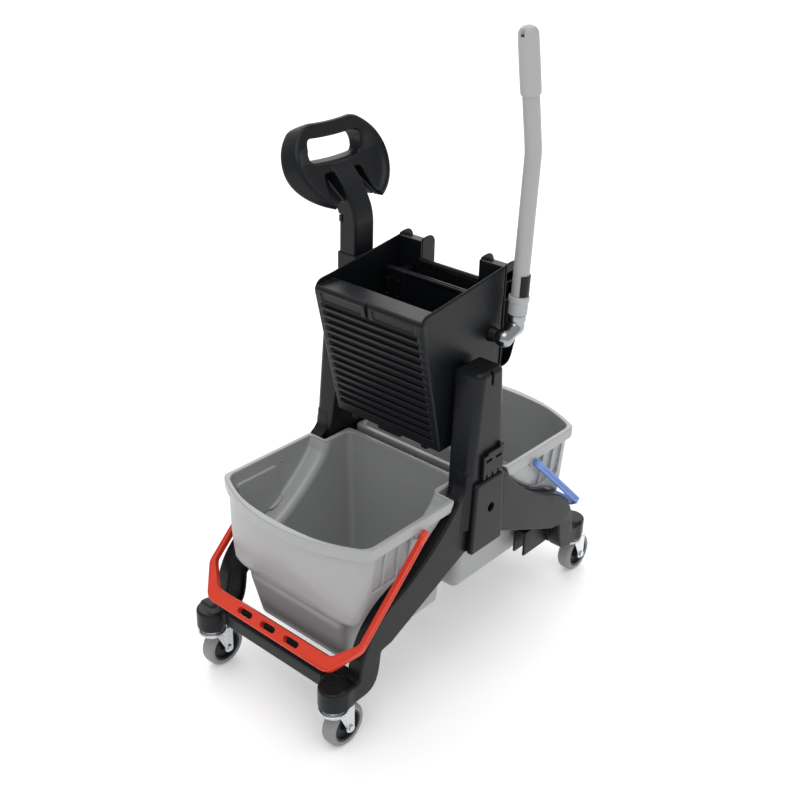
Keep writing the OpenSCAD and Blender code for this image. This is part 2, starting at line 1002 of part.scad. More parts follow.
module hopper_side_wall() {
    edge_n = rib_proud + corner_w;
    nose = front_point(edge_n, front_l - 20);
    crown = lip_h + wall_rise;
    across(-hopper_y, -back_in)
        polygon(concat(
            [front_point(edge_n, 0)],
            curve(nose, front_point(edge_n, front_l), [nose.x + 9, crown - 3], [nose.x + 32, crown], 8),
            [[side_x, wing_h], [side_x, back_h], [side_x - 42, hopper_h]]
        ));
}

module wringer_hopper() {
    color("#242528")
        on_posts()
            difference() {
                union() {
                    hopper_front_wall();
                    for (s = SIDES)
                        on_side(s[1])
                            hopper_side_wall();
                    for (y = [-80, 0, 80])
                        translate([-hopper_front + rib_proud, y - (y == 0 ? 26 : 7), hopper_h - 9])
                            cube([9, y == 0 ? 52 : 14, 13]);
                }
                across(-hopper_y - eps, hopper_y + eps)
                    translate([shaft_x, shaft_h])
                        circle(d = shaft_d + 8 + 0.1);
            }
}

module drain_grid() {
    x0 = -hopper_front + rib_proud + hopper_wall + 9;
    x1 = side_x - 44;
    count = 13;
    slat = 4;
    color("#1f2022")
        on_posts()
            translate([x0, 0, hopper_h]) {
                for (i = [0:count])
                    translate([0, -back_in + i * (2 * back_in - slat) / count, 0])
                        cube([x1 - x0, slat, 8]);
                for (x = [0, x1 - x0 - 8])
                    translate([x, -back_in, 0])
                        cube([8, 2 * back_in, 6]);
            }
}

module wringer_back() {
    half = cutout_w / 2;
    color("#232427")
        on_posts()
            translate([back_x, 0, 0])
                rotate([90, 0, 90])
                    linear_extrude(back_t)
                        difference() {
                            union() {
                                translate([-back_in, back_h])
                                    square([2 * back_in, cutout_h - back_h]);
                                for (d = [-1, 1])
                                    translate([d > 0 ? half : -back_in, lip_h])
                                        square([back_in - half, wing_h - wing_drop - lip_h]);
                            }
                            for (d = [-1, 1])
                                translate([d * rack_y - gear_w / 2 - 3, back_h + 14])
                                    square([gear_w + 6, window_h - back_h - 14]);
                        }
}

// Outline of a gear cover up to a top, shrunk by an inset but open to the front
module gear_cover_outline(inset, top) {
    x0 = side_x - (inset > 0 ? eps : 0);
    x1 = side_x + gear_cover_l - inset;
    low = back_h + inset;
    polygon(concat(
        [[x0, low], [x0, top]],
        curve([x1 - 22, top], [x1 - 10, top], [x1 - 3, top - 7], [x1 - 3, top - 18], 6),
        curve([x1, shaft_h - 34], [x1, shaft_h - 60], [x1 - 10, low], [x1 - 26, low], 8)
    ));
}

module gear_cover(s) {
    in_y = cutout_w / 2 - 3;
    skin = 3;
    top = wing_h + 3;
    roof = top - 14;
    color("#27282b")
        on_posts()
            on_side(s)
                difference() {
                    across(-hopper_y, -in_y)
                        gear_cover_outline(0, top);
                    across(-hopper_y + skin, -in_y - skin)
                        gear_cover_outline(skin, roof - skin);
                    translate([side_x - eps, -hopper_y + skin, roof])
                        cube([gear_cover_l + 2 * eps, hopper_y - in_y - 2 * skin, top]);
                    translate([side_x + 10, -rack_y - gear_w / 2 - 2, rack_h - tooth_up - 2])
                        cube([gear_cover_l, gear_w + 4, rack_t + tooth_up + 4]);
                }
}

// Lugs that drop into the tower slots
module hanger_lugs() {
    color("#242528")
        on_posts()
            for (s = SIDES)
                on_side(s[1])
                    translate([slot_x - slot_w / 2 + 0.5, -tower_out + 4, tower_h - slot_t + fit])
                        cube([slot_w - 1, tower_out - 4 - hopper_y, slot_t - 6]);
}

module shaft_bush(s) {
    color("#2c2d30")
        on_posts()
            on_side(s)
                translate([shaft_x, 0, shaft_h])
                    rotate([90, 0, 0])
                        difference() {
                            union() {
                                translate([0, 0, back_in])
                                    cylinder(d = shaft_d + 8, h = hopper_wall);
                                translate([0, 0, hopper_y])
                                    cylinder(d = shaft_d + 14, h = 3);
                            }
                            translate([0, 0, back_in - eps])
                                cylinder(d = shaft_d + 2 * run_fit, h = hopper_wall + 3 + 2 * eps);
                        }
}

module drive_shaft() {
    color("#b9bcc0")
        on_posts()
            translate([shaft_x, hopper_y + 4, shaft_h])
                rotate([90, 0, 0])
                    difference() {
                        cylinder(d = shaft_d, h = hopper_y + 4 + lever_y + 15);
                        translate([0, 0, hopper_y + 4 + lever_y])
                            rotate([0, 90, 0])
                                cylinder(d = 5.04, h = 60, center = true);
                    }
}

module drive_sector(s) {
    first = 90 + tooth_a / 2;
    color("#aeb2b6")
        on_posts()
            on_side(s)
                across(-rack_y - gear_w / 2, -rack_y + gear_w / 2)
                    translate([shaft_x, shaft_h])
                        difference() {
                            union() {
                                polygon(concat(
                                    [[0, 0]],
                                    [for (i = [sector_teeth - 1:-1:0]) each sector_tooth(first - i * tooth_a)]
                                ));
                                circle(d = shaft_d + 14);
                            }
                            circle(d = shaft_d + 0.04);
                        }
}

module rack(s) {
    tip = tooth_half - tooth_up * tan(pressure_a);
    root = tooth_half + tooth_down * tan(pressure_a);
    x1 = shaft_x + (rack_teeth - 2) * tooth_pitch + root + 1;
    teeth = [
        for (k = [-1:rack_teeth - 2])
            let (x = shaft_x + k * tooth_pitch)
            each [
                [x - root, rack_h + tooth_down],
                [x - tip, rack_h - tooth_up],
                [x + tip, rack_h - tooth_up],
                [x + root, rack_h + tooth_down]
            ]
    ];
    color("#3a3b3d")
        on_posts()
            on_side(s)
                difference() {
                    union() {
                        across(-rack_y - gear_w / 2, -rack_y + gear_w / 2)
                            polygon(concat(
                                [[plate_back + foot_t - eps, rack_h + tooth_down]],
                                teeth,
                                [[x1, rack_h + tooth_down], [x1, rack_h + rack_t]],
                                [[plate_back + foot_t - eps, rack_h + rack_t]]
                            ));
                        translate([plate_back, -rack_y - foot_w / 2, rack_h - 30])
                            cube([foot_t, foot_w, 30 + rack_t]);
                    }
                    screw_places()
                        cylinder(d = screw_d + 0.2, h = 40, center = true);
                }
}

// Four screw axes of the right-hand rack, along X at the back of the plate
module screw_places() {
    for (dy = [-1, 1])
        for (dz = [-1, 1])
            translate([plate_back, -rack_y + dy * screw_dy, rack_h - 7 + dz * screw_dz])
                rotate([0, 90, 0])
                    children();
}

module rack_screws() {
    color("#9a9da0")
        on_posts()
            for (s = SIDES)
                on_side(s[1])
                    screw_places() {
                        translate([0, 0, -plate_t + 3])
                            cylinder(d = screw_d, h = plate_t - 3 + foot_t);
                        translate([0, 0, foot_t])
                            cylinder(d = screw_d + 4, h = 3.5);
                    }
}

module press_plate() {
    color("#1e1f22")
        on_posts()
            difference() {
                union() {
                    translate([plate_x, -plate_y, plate_low])
                        cube([plate_t, 2 * plate_y, plate_top - plate_low]);
                    translate([plate_x, -plate_y, plate_top - 5])
                        cube([plate_t + 8, 2 * plate_y, 5]);
                }
                for (s = SIDES)
                    on_side(s[1])
                        screw_places() {
                            cylinder(d = screw_d + 0.2, h = 3 * plate_t, center = true);
                            translate([0, 0, -plate_t - eps])
                                cylinder(d = screw_d + 3, h = 2 + eps);
                        }
            }
}

// Places a piece at the foot of the lever tube, Z along the tube
module on_tube() {
    on_posts()
        translate([shaft_x + lever_e.x, -lever_y, shaft_h + lever_e.y])
            rotate([0, tube_tilt, 0])
                children();
}

// Places a piece at the bend of the lever tube, Z along its upper part
module past_bend() {
    translate([0, 0, tube_lower])
        rotate([0, -tube_bend, 0])
            children();
}

// Straight piece of the lever tube, Z along it
module tube_run(z0, z1) {
    r = tube_d / 2;
    rotate([0, 0, 90])
        difference() {
            translate([0, 0, z0])
                cylinder(r = r, h = z1 - z0);
            translate([0, 0, z0 - eps])
                cylinder(r = r - tube_wall, h = z1 - z0 + 2 * eps);
        }
}

// Half of the space at the bend's mitre, above or below it
module mitre(above) {
    side = 3 * tube_d;
    translate([0, 0, tube_lower])
        rotate([0, -tube_bend / 2, 0])
            translate([-side / 2, -side / 2, above ? 0 : -side])
                cube([side, side, side]);
}

module lever_tube() {
    color("#aeb0b1")
        on_tube() {
            difference() {
                tube_run(12, tube_lower + tube_d / 2);
                mitre(true);
            }
            difference() {
                past_bend()
                    tube_run(-tube_d / 2, tube_upper + grip_l - 14);
                mitre(false);
            }
        }
}

module lever_elbow() {
    boss_r = shaft_d / 2 + 7;
    spigot_r = tube_d / 2 - tube_wall - 0.1;
    arm = norm(lever_e);
    color("#c9cccf")
        difference() {
            union() {
                on_posts()
                    translate([shaft_x, -lever_y, shaft_h]) {
                        rotate([90, 0, 0])
                            translate([0, 0, -17])
                                cylinder(r = boss_r, h = 32);
                        rotate([0, atan2(lever_e.x, lever_e.y), 0])
                            cylinder(r = 10.5, h = arm);
                        translate([lever_e.x, 0, lever_e.y])
                            sphere(r = 12.6);
                    }
                on_tube() {
                    cylinder(r = tube_d / 2, h = 12);
                    cylinder(r = spigot_r, h = 45);
                }
            }
            on_posts()
                translate([shaft_x, -lever_y, shaft_h]) {
                    rotate([90, 0, 0])
                        cylinder(d = shaft_d + 0.04, h = 60, center = true);
                    rotate([0, 90, 0])
                        cylinder(d = 5.04, h = 60, center = true);
                }
        }
}

module lever_pin() {
    boss_r = shaft_d / 2 + 7;
    color("#8c8f92")
        on_posts()
            translate([shaft_x, -lever_y, shaft_h])
                rotate([0, 90, 0])
                    cylinder(d = 5, h = 2 * boss_r - 2, center = true);
}

module lever_sleeve() {
    r = tube_d / 2;
    color("#b4b6b7")
        on_tube()
            difference() {
                union() {
                    translate([0, 0, 8])
                        cylinder(r = r + 2.5, h = 33);
                    translate([0, 0, 31])
                        cylinder(r = r + 4, h = 10);
                }
                cylinder(r = r + 0.1, h = 60);
            }
}

// Clip that grips the outer half of the tube above its collar
module tube_clip() {
    r = tube_d / 2;
    color("#202124")
        on_tube()
            rotate([0, 0, -49])
                difference() {
                    translate([0, 0, 42])
                        cylinder(r = r + 2.5, h = 27);
                    cylinder(r = r + 0.1, h = 80);
                    translate([-2 * tube_d, -tube_d, 0])
                        cube([2 * tube_d - 1.5, 2 * tube_d, 80]);
                }
}

module lever_grip() {
    r = grip_d / 2;
    dome = 12;
    color("#aaacad")
        on_tube()
            past_bend()
                translate([0, 0, tube_upper])
                    difference() {
                        union() {
                            cylinder(r1 = r - 2, r2 = r, h = 8);
                            translate([0, 0, 8])
                                cylinder(r = r, h = grip_l - dome - 8);
                            translate([0, 0, grip_l - dome])
                                rotate_extrude()
                                    polygon(concat(
                                        [[0, 0]],
                                        [for (i = [0:6]) [r - dome + dome * cos(i * 15), dome * sin(i * 15)]],
                                        [[0, dome]]
                                    ));
                        }
                        translate([0, 0, -eps])
                            cylinder(r = tube_d / 2 + 0.1, h = grip_l - 13 + eps);
                        translate([-r - eps, -3, grip_l - 12])
                            cube([7, 6, 9]);
                    }
}

module handle_sleeve() {
    w = post_w + 2 * (sleeve_wall + 0.2);
    l = post_l + 2 * (sleeve_wall + 0.2);
    heel = 90;
    color("#2a2b2d")
        on_posts()
            difference() {
                union() {
                    translate([handle_x - w / 2, handle_y - l / 2, tower_h])
                        cube([w, l, sleeve_t]);
                    across(tower_in + 4, handle_y + l / 2 - 4)
                        polygon([
                            [tower_half(tower_h - heel) + fit, tower_h - heel],
                            [handle_x + w / 2, tower_h - 0.3 * heel],
                            [handle_x + w / 2, tower_h + eps],
                            [tower_half(tower_h) + fit, tower_h + eps]
                        ]);
                }
                translate([handle_x - post_w / 2 - 0.2, handle_y - post_l / 2 - 0.2, tower_h + 10])
                    cube([post_w + 0.4, post_l + 0.4, sleeve_t]);
            }
}

// Sine or cosine of a squared-off ellipse
function bulge(c) = sign(c) * pow(abs(c), 0.9);

// Outline of the half-moon grip, shrunk by an inset: a squared-off ellipse cut flat at its foot
module half_moon(inset) {
    a = handle_w / 2 - inset;
    b = handle_t / 2 - inset;
    foot = moon_foot + 6 - (inset > 0 ? 2 * eps : 0);
    intersection() {
        translate([0, moon_foot + handle_t / 2])
            polygon([for (i = [0:71]) [a * bulge(cos(i * 5)), b * bulge(sin(i * 5))]]);
        translate([-handle_w, foot])
            square([2 * handle_w, 2 * handle_t]);
    }
}

// Hand hole with round ends, grown by an offset
module hand_hole(o) {
    r = hand_t / 2;
    translate([0, moon_foot + handle_t - 52]) {
        square([hand_w - hand_t, hand_t + 2 * o], center = true);
        for (d = [-1, 1])
            translate([d * (hand_w - hand_t) / 2, 0])
                circle(r = r + o);
    }
}

module push_handle() {
    half = handle_d / 2;
    stem_t = moon_foot + handle_t - 52;
    dish = handle_d - 22;
    color("#2a2b2d")
        on_posts()
            translate([handle_x, handle_y, 0])
                difference() {
                    union() {
                        translate([-post_w / 2, -post_l / 2, tower_h + 10])
                            cube([post_w, post_l, handle_rise - 10]);
                        translate([-post_w / 2, 0, bend_h])
                            rotate([0, 90, 0])
                                cylinder(d = post_l, h = post_w);
                        translate([0, 0, bend_h])
                            rotate([-handle_lean, 0, 0])
                                difference() {
                                    union() {
                                        across(-half + 4, half + 4)
                                            half_moon(0);
                                        translate([-post_w / 2, -post_l / 2, 0])
                                            cube([post_w, post_l, stem_t - hand_t / 2 - 8]);
                                    }
                                    across(-half - eps, -half + 4 + dish)
                                        difference() {
                                            half_moon(14);
                                            translate([-post_w / 2, 0])
                                                square([post_w, stem_t - hand_t / 2 - 12]);
                                        }
                                    across(-half - eps, half + 4 + eps)
                                        hand_hole(0);
                                }
                    }
                    translate([-post_w / 2 - eps, -catch_w / 2, catch_h])
                        cube([catch_d + eps, catch_w, catch_t]);
                }
}

// Sprung catch in the side of the handle post
module handle_catch() {
    color("#36373a")
        on_posts()
            translate([handle_x - post_w / 2 - 3, handle_y - catch_w / 2 + fit, catch_h + fit])
                cube([catch_d, catch_w - 2 * fit, catch_t - 2 * fit]);
}

cross_beam(-1);  // front_beam
cross_beam(1);  // rear_beam
centre_spine();
castor_stems();
handle_sleeve();
push_handle();
handle_catch();
wringer_hopper();
drain_grid();
wringer_back();
hanger_lugs();
drive_shaft();
press_plate();
rack_screws();
lever_elbow();
lever_pin();
lever_sleeve();
lever_tube();
tube_clip();
lever_grip();
for (s = SIDES) {
    side_rail(s[1]);
    tower(s[1]);
    lower_cover(s[1]);
    clip_bracket(s[1]);
    gear_cover(s[1]);
    shaft_bush(s[1]);
    drive_sector(s[1]);
    rack(s[1]);
}
for (e = ENDS) {
    bucket(e[1]);
    bail(e[1]);
    bail_pins(e[1]);
}
for (c = CORNERS) {
    castor_fork(c);
    castor_axle(c);
    wheel_hub(c);
    tyre(c);
}
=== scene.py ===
import math

import bpy
import numpy as np
from mathutils import Matrix, Vector


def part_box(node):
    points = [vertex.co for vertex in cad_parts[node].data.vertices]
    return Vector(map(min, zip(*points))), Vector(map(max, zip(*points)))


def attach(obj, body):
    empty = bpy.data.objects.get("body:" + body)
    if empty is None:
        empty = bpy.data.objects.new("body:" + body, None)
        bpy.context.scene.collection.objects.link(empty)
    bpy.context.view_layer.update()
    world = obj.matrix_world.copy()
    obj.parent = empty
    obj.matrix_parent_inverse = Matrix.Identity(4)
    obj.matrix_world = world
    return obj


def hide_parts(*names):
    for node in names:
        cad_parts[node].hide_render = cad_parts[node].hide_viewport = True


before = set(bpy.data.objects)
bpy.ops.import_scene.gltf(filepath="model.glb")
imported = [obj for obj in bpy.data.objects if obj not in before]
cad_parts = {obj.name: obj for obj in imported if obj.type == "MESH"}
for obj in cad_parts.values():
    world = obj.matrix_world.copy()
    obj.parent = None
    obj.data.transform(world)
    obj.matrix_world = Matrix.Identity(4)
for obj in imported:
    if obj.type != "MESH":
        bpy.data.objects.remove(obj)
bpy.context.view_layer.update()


# Side rails. Each is one hollow moulding of black polypropylene: an arch that carries a tower
# in its seat, sweeps down under the buckets and ends in a round post for a castor at each end.
# The shapes of the moulded pieces are worked out in millimetres as distances to their surface.


def box_mm(node):
    """Lowest and highest corner of a CAD node, in millimetres."""
    low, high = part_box(node)
    return np.array(low) * 1000, np.array(high) * 1000


def slab(v, low, high):
    """Distance to the space between two parallel planes."""
    return np.abs(v - (low + high) / 2) - (high - low) / 2


def cut(a, b, r):
    """What two shapes share, with a round edge of radius r."""
    corner = np.hypot(np.maximum(a + r, 0), np.maximum(b + r, 0))
    return np.minimum(-r, np.maximum(a, b)) + corner


def join(a, b, r):
    """Two shapes together, with a fillet of radius r where they meet."""
    corner = np.hypot(np.maximum(r - a, 0), np.maximum(r - b, 0))
    return np.maximum(r, np.minimum(a, b)) - corner


def block(x, y, z, low, high, r):
    """Distance to a box with round edges."""
    plan = cut(slab(x, low[0], high[0]), slab(y, low[1], high[1]), r)
    return cut(plan, slab(z, low[2], high[2]), r)


def bezier(a, b, c, d, count=12):
    """Points along a cubic curve, without the first, as corners with no radius."""
    a, b, c, d = (np.array(p, float) for p in (a, b, c, d))
    points = []
    for i in range(1, count + 1):
        t = i / count
        s = 1 - t
        p = a * s**3 + 3 * b * t * s * s + 3 * c * t * t * s + d * t**3
        points.append((p[0], p[1], 0))
    return points


def rounded(corners):
    """Points of an outline whose corners (a, b, radius) are turned into arcs."""
    points = []
    for i, (a, b, r) in enumerate(corners):
        here = np.array((a, b), float)
        if r == 0:
            points.append(here)
            continue
        before = np.array(corners[i - 1][:2]) - here
        after = np.array(corners[(i + 1) % len(corners)][:2]) - here
        before /= np.linalg.norm(before)
        after /= np.linalg.norm(after)
        opening = math.acos(max(-1, min(1, before @ after)))
        middle = (before + after) / np.linalg.norm(before + after)
        centre = here + middle * r / math.sin(opening / 2)
        reach = r / math.tan(opening / 2)
        first = here + before * reach - centre
        last = here + after * reach - centre
        sweep = math.pi - opening
        steps = max(2, round(sweep / 0.2))
        for k in range(steps + 1):
            part = sweep * k / steps
            swung = first * math.sin(sweep - part) + last * math.sin(part)
            points.append(centre + swung / math.sin(sweep))
    return np.array(points)


def outline(corners, spacing=1.5, margin=30):
    """Distance to a flat outline as a function of its two coordinates, read from a fine table."""
    points = rounded(corners)
    low = points.min(0) - margin
    count = np.ceil((points.max(0) + margin - low) / spacing).astype(int) + 1
    a, b = np.meshgrid(*[low[i] + np.arange(count[i]) * spacing for i in (0, 1)], indexing="ij")
    nearest = np.full(a.shape, np.inf)
    inside = np.zeros(a.shape, bool)
    for p, q in zip(points, np.roll(points, -1, 0)):
        edge = q - p
        along = ((a - p[0]) * edge[0] + (b - p[1]) * edge[1]) / max(edge @ edge, 1e-9)
        along = np.clip(along, 0, 1)
        gap = (a - p[0] - along * edge[0]) ** 2 + (b - p[1] - along * edge[1]) ** 2
        nearest = np.minimum(nearest, gap)
        if edge[1] != 0:
            crossed = (p[1] <= b) != (q[1] <= b)
            inside ^= crossed & (a < p[0] + (b - p[1]) * edge[0] / edge[1])
    table = np.where(inside, -1, 1) * np.sqrt(nearest)

    def distance(a, b):
        i = np.clip((a - low[0]) / spacing, 0, count[0] - 1.001)
        j = np.clip((b - low[1]) / spacing, 0, count[1] - 1.001)
        i0, j0 = i.astype(int), j.astype(int)
        s, t = i - i0, j - j0
        near = table[i0, j0] * (1 - s) + table[i0 + 1, j0] * s
        far = table[i0, j0 + 1] * (1 - s) + table[i0 + 1, j0 + 1] * s
        return near * (1 - t) + far * t

    return distance


def slope(shape, points, step):
    """Value and gradient of a shape's distance at some points."""
    here = shape(*points.T)
    rise = [shape(*(points + step * np.eye(3)[i]).T) - here for i in range(3)]
    return here, np.stack(rise, 1) / step


def settle(shape, points, step, rounds=3):
    """Moves points onto the surface of a shape."""
    for _ in range(rounds):
        here, grad = slope(shape, points, step)
        move = here / np.maximum((grad * grad).sum(1), 0.2)
        points = points - grad * np.clip(move, -2 * step, 2 * step)[:, None]
    return points


def mould(shape, low, high, cell, keep):
    """Skin of a shape inside a box: (points, faces, normals) in mm. Keep is the share of faces kept."""
    axes = [np.arange(low[i] - 1.5 * cell, high[i] + 2.5 * cell, cell) for i in range(3)]
    origin = np.array([a[0] for a in axes])
    size = tuple(len(a) for a in axes)
    value = shape(axes[0][:, None, None], axes[1][None, :, None], axes[2][None, None, :])
    value = np.broadcast_to(value, size)
    solid = value < 0
    corners = np.array([(i, j, k) for i in (0, 1) for j in (0, 1) for k in (0, 1)])
    filled = np.zeros(tuple(n - 1 for n in size), np.int8)
    for c in corners:
        filled += solid[tuple(slice(c[i], size[i] - 1 + c[i]) for i in range(3))]
    skin = (filled > 0) & (filled < 8)
    cells = np.argwhere(skin)
    number = np.full(skin.shape, -1, np.int64)
    number[skin] = np.arange(len(cells))
    at_corner = [value[tuple((cells + c).T)] for c in corners]
    total = np.zeros((len(cells), 3))
    crossings = np.zeros(len(cells))
    for p in range(8):
        for q in range(p + 1, 8):
            if np.abs(corners[p] - corners[q]).sum() != 1:
                continue
            crossed = (at_corner[p] < 0) != (at_corner[q] < 0)
            rise = np.where(crossed, at_corner[p] - at_corner[q], 1)
            t = np.where(crossed, at_corner[p] / rise, 0)
            total += np.where(crossed[:, None], corners[p] + t[:, None] * (corners[q] - corners[p]), 0)
            crossings += crossed
    points = origin + cell * (cells + total / crossings[:, None])
    faces = []
    for axis in range(3):
        u, v = (axis + 1) % 3, (axis + 2) % 3
        step = np.eye(3, dtype=int)
        near = np.take(solid, range(size[axis] - 1), axis)
        far = np.take(solid, range(1, size[axis]), axis)
        where = np.argwhere(near != far)
        ring = [where - step[u] - step[v], where - step[v], where, where - step[u]]
        quad = np.stack([number[tuple(r.T)] for r in ring], 1)
        outward = near[tuple(where.T)]
        faces.append(np.where(outward[:, None], quad, quad[:, ::-1]))
    faces = np.concatenate(faces)
    points = settle(shape, points, 0.3 * cell)
    if keep < 1:
        mesh = bpy.data.meshes.new("mould")
        mesh.from_pydata(points, [], faces.tolist())
        whole = bpy.data.objects.new("mould", mesh)
        bpy.context.scene.collection.objects.link(whole)
        thin = whole.modifiers.new("thin", "DECIMATE")
        thin.ratio = keep
        made = whole.evaluated_get(bpy.context.evaluated_depsgraph_get()).to_mesh()
        points = np.array([v.co for v in made.vertices])
        faces = [tuple(p.vertices) for p in made.polygons]
        bpy.data.objects.remove(whole)
        bpy.data.meshes.remove(mesh)
        points = settle(shape, points, 0.3 * cell, 2)
    else:
        faces = [tuple(f) for f in faces.tolist()]
    normals = slope(shape, points, 0.4 * cell)[1]
    normals /= np.maximum(np.linalg.norm(normals, axis=1), 1e-6)[:, None]
    return points, faces, normals


def piece(name, skin, material, body, nodes, turn=None):
    """A new piece from a skin in millimetres, set by a turn matrix, that stands for CAD nodes."""
    points, faces, normals = skin
    if turn is not None:
        points = points @ np.array(turn)[:3, :3].T + np.array(turn)[:3, 3]
        normals = normals @ np.array(turn)[:3, :3].T
        if np.linalg.det(np.array(turn)[:3, :3]) < 0:
            faces = [f[::-1] for f in faces]
    mesh = bpy.data.meshes.new(name)
    mesh.from_pydata(points / 1000, [], faces)
    mesh.shade_smooth()
    mesh.normals_split_custom_set_from_vertices(normals.tolist())
    return dress(bpy.data.objects.new(name, mesh), material, body, nodes)


def dress(made, material, body, nodes):
    """Puts a made piece in the scene with its material, body and the CAD nodes it stands for."""
    bpy.context.scene.collection.objects.link(made)
    made.data.materials.clear()
    made.data.materials.append(material)
    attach(made, body)
    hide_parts(*nodes)
    return made


def linear(hex_colour):
    """Linear colour of an sRGB hex value."""
    channels = [int(hex_colour[i : i + 2], 16) / 255 for i in (1, 3, 5)]
    return [c / 12.92 if c <= 0.04045 else ((c + 0.055) / 1.055) ** 2.4 for c in channels] + [1]


def add_node(material, kind, inputs, **settings):
    """Adds a node to a material with its settings, and its inputs as values or links."""
    tree = material.node_tree
    made = tree.nodes.new(kind)
    for name, value in settings.items():
        setattr(made, name, value)
    for name, value in inputs.items():
        if isinstance(value, bpy.types.NodeSocket):
            tree.links.new(value, made.inputs[name])
        else:
            made.inputs[name].default_value = value
    return made


def blank_material(name):
    """A new material with nothing in it yet."""
    material = bpy.data.materials.new(name)
    material.use_nodes = True
    material.node_tree.nodes.clear()
    return material


def moulded_plastic(name, colour, shade, roughness, grain_mm, grain_depth, gloss=0.5):
    """Injection-moulded plastic: an even colour that clouds a little where the melt cooled,
    a fine spark-eroded grain from the tool, and a sheen that varies softly over the surface."""
    material = blank_material(name)
    cloud_mm = 90
    place = add_node(material, "ShaderNodeTexCoord", {}).outputs["Object"]
    cloud = add_node(
        material, "ShaderNodeTexNoise", {"Vector": place, "Scale": 1000 / cloud_mm, "Detail": 3.0}
    )
    grain = add_node(
        material, "ShaderNodeTexNoise", {"Vector": place, "Scale": 1000 / grain_mm, "Detail": 2.0}
    )
    tint = add_node(
        material,
        "ShaderNodeMix",
        {"Factor": cloud.outputs["Fac"], 6: linear(colour), 7: linear(shade)},
        data_type="RGBA",
    )
    sheen = add_node(
        material,
        "ShaderNodeMapRange",
        {"Value": cloud.outputs["Fac"], "To Min": roughness - 0.05, "To Max": roughness + 0.05},
    )
    bump = add_node(
        material,
        "ShaderNodeBump",
        {"Height": grain.outputs["Fac"], "Strength": 0.35, "Distance": grain_depth / 1000},
    )
    surface = add_node(
        material,
        "ShaderNodeBsdfPrincipled",
        {
            "Base Color": tint.outputs[2],
            "Roughness": sheen.outputs["Result"],
            "Normal": bump.outputs["Normal"],
            "Specular IOR Level": gloss,
        },
    )
    add_node(material, "ShaderNodeOutputMaterial", {"Surface": surface.outputs["BSDF"]})
    return material


# Black polypropylene, moulded: satin, near black, with a fine grain that is drawn 1.2 mm wide
# so that it still shows from a step away.
black_polypropylene = moulded_plastic(
    "black_polypropylene_moulded", "#131518", "#0f1114", 0.38, 1.2, 0.05, gloss=0.23
)


def black_moulding(name, skin, body, nodes, turn=None):
    """A piece of the black polypropylene that most of the trolley is moulded from."""
    return piece(name, skin, black_polypropylene, body, nodes, turn)


# The left side of the trolley is the mirror image of the right one.
mirror_y = Matrix.Scale(-1, 4, Vector((0, 1, 0)))
both_hands = (("right", None), ("left", mirror_y))
rail_low, rail_high = box_mm("side_rail_right")
post_x, post_y, post_r = 345, 151, 26.5
post_base = rail_low[2]
post_top = post_base + 41
rail_outer, rail_inner = 178, 148
ear_top, seat_top = rail_high[2], post_base + 208
shoulder = (post_x - 124, post_base + 161)
ear_x, ear_slant, seat_x = 66.4, 13.7, 58.3
leg_top, rail_sole = (post_x - 87, post_base + 73), post_base + 3
rail_edge_r, rail_wall, rail_face_t = 4.5, 7, 6
stub_box = ((318, 118, post_base + 13), (340, post_y, post_base + 40))
guide_box = ((184, 122.5, post_base + 23), (270, 150, post_base + 78))
channel_box = ((170, 127, post_base), (264, 145, post_base + 73))
rail_sweep = [(ear_x, ear_top, 0)]
rail_sweep += bezier(
    (ear_x, ear_top), (ear_x + 30, ear_top - 40), (shoulder[0] - 60, shoulder[1] + 23), shoulder
)
rail_nose = bezier(
    shoulder,
    (shoulder[0] + 45, shoulder[1] - 17),
    (post_x - 41, post_top + 72),
    (post_x - 34, post_top + 2),
)
rail_leg = bezier(
    leg_top, (post_x - 83, post_base + 25), (post_x - 77, rail_sole), (post_x - 43, rail_sole), 8
)
rail_half = [(post_x - 298, seat_top - 48, 0), (post_x - 111, post_base + 76, 8)]
rail_half += [(*leg_top, 6)] + rail_leg
rail_half += [(post_x - 2, rail_sole, 0), (post_x - 2, post_top - 1, 0), (post_x - 30, post_top - 1, 6)]
rail_half += rail_nose[::-1] + rail_sweep[:0:-1]
rail_half += [(ear_x, ear_top, 4), (ear_x - ear_slant, ear_top, 2), (seat_x, seat_top, 0)]
rail_outline = outline(rail_half + [(-x, z, r) for x, z, r in rail_half[::-1]])


def side_rail(x, y, z):
    out = -y
    ends = np.abs(x)
    arch = cut(rail_outline(x, z), slab(out, rail_inner, rail_outer), rail_edge_r)
    hollow = cut(rail_outline(x, z) + rail_wall, slab(out, rail_inner - 20, rail_inner + rail_face_t), 2)
    arch = cut(arch, -hollow, 2)
    radius = np.hypot(ends - post_x, out - post_y)
    post = cut(radius - post_r, slab(z, post_base, post_top), 5)
    stub = block(ends, out, z, *stub_box, 3)
    guide = block(x, out, z, *guide_box, 3)
    channel = block(x, out, z, *channel_box, 2)
    return np.minimum(join(arch, join(post, stub, 5), 9), cut(guide, -channel, 1))


rail_skin = mould(side_rail, rail_low, rail_high, 2.5, 0.3)
for side, turn in both_hands:
    black_moulding("rail_" + side, rail_skin, "chassis", ["side_rail_" + side], turn)


# Cross beams and centre spine. A bar with a shelf behind it closes each end of the frame,
# and a plate between the towers stands between the buckets. All are black polypropylene.


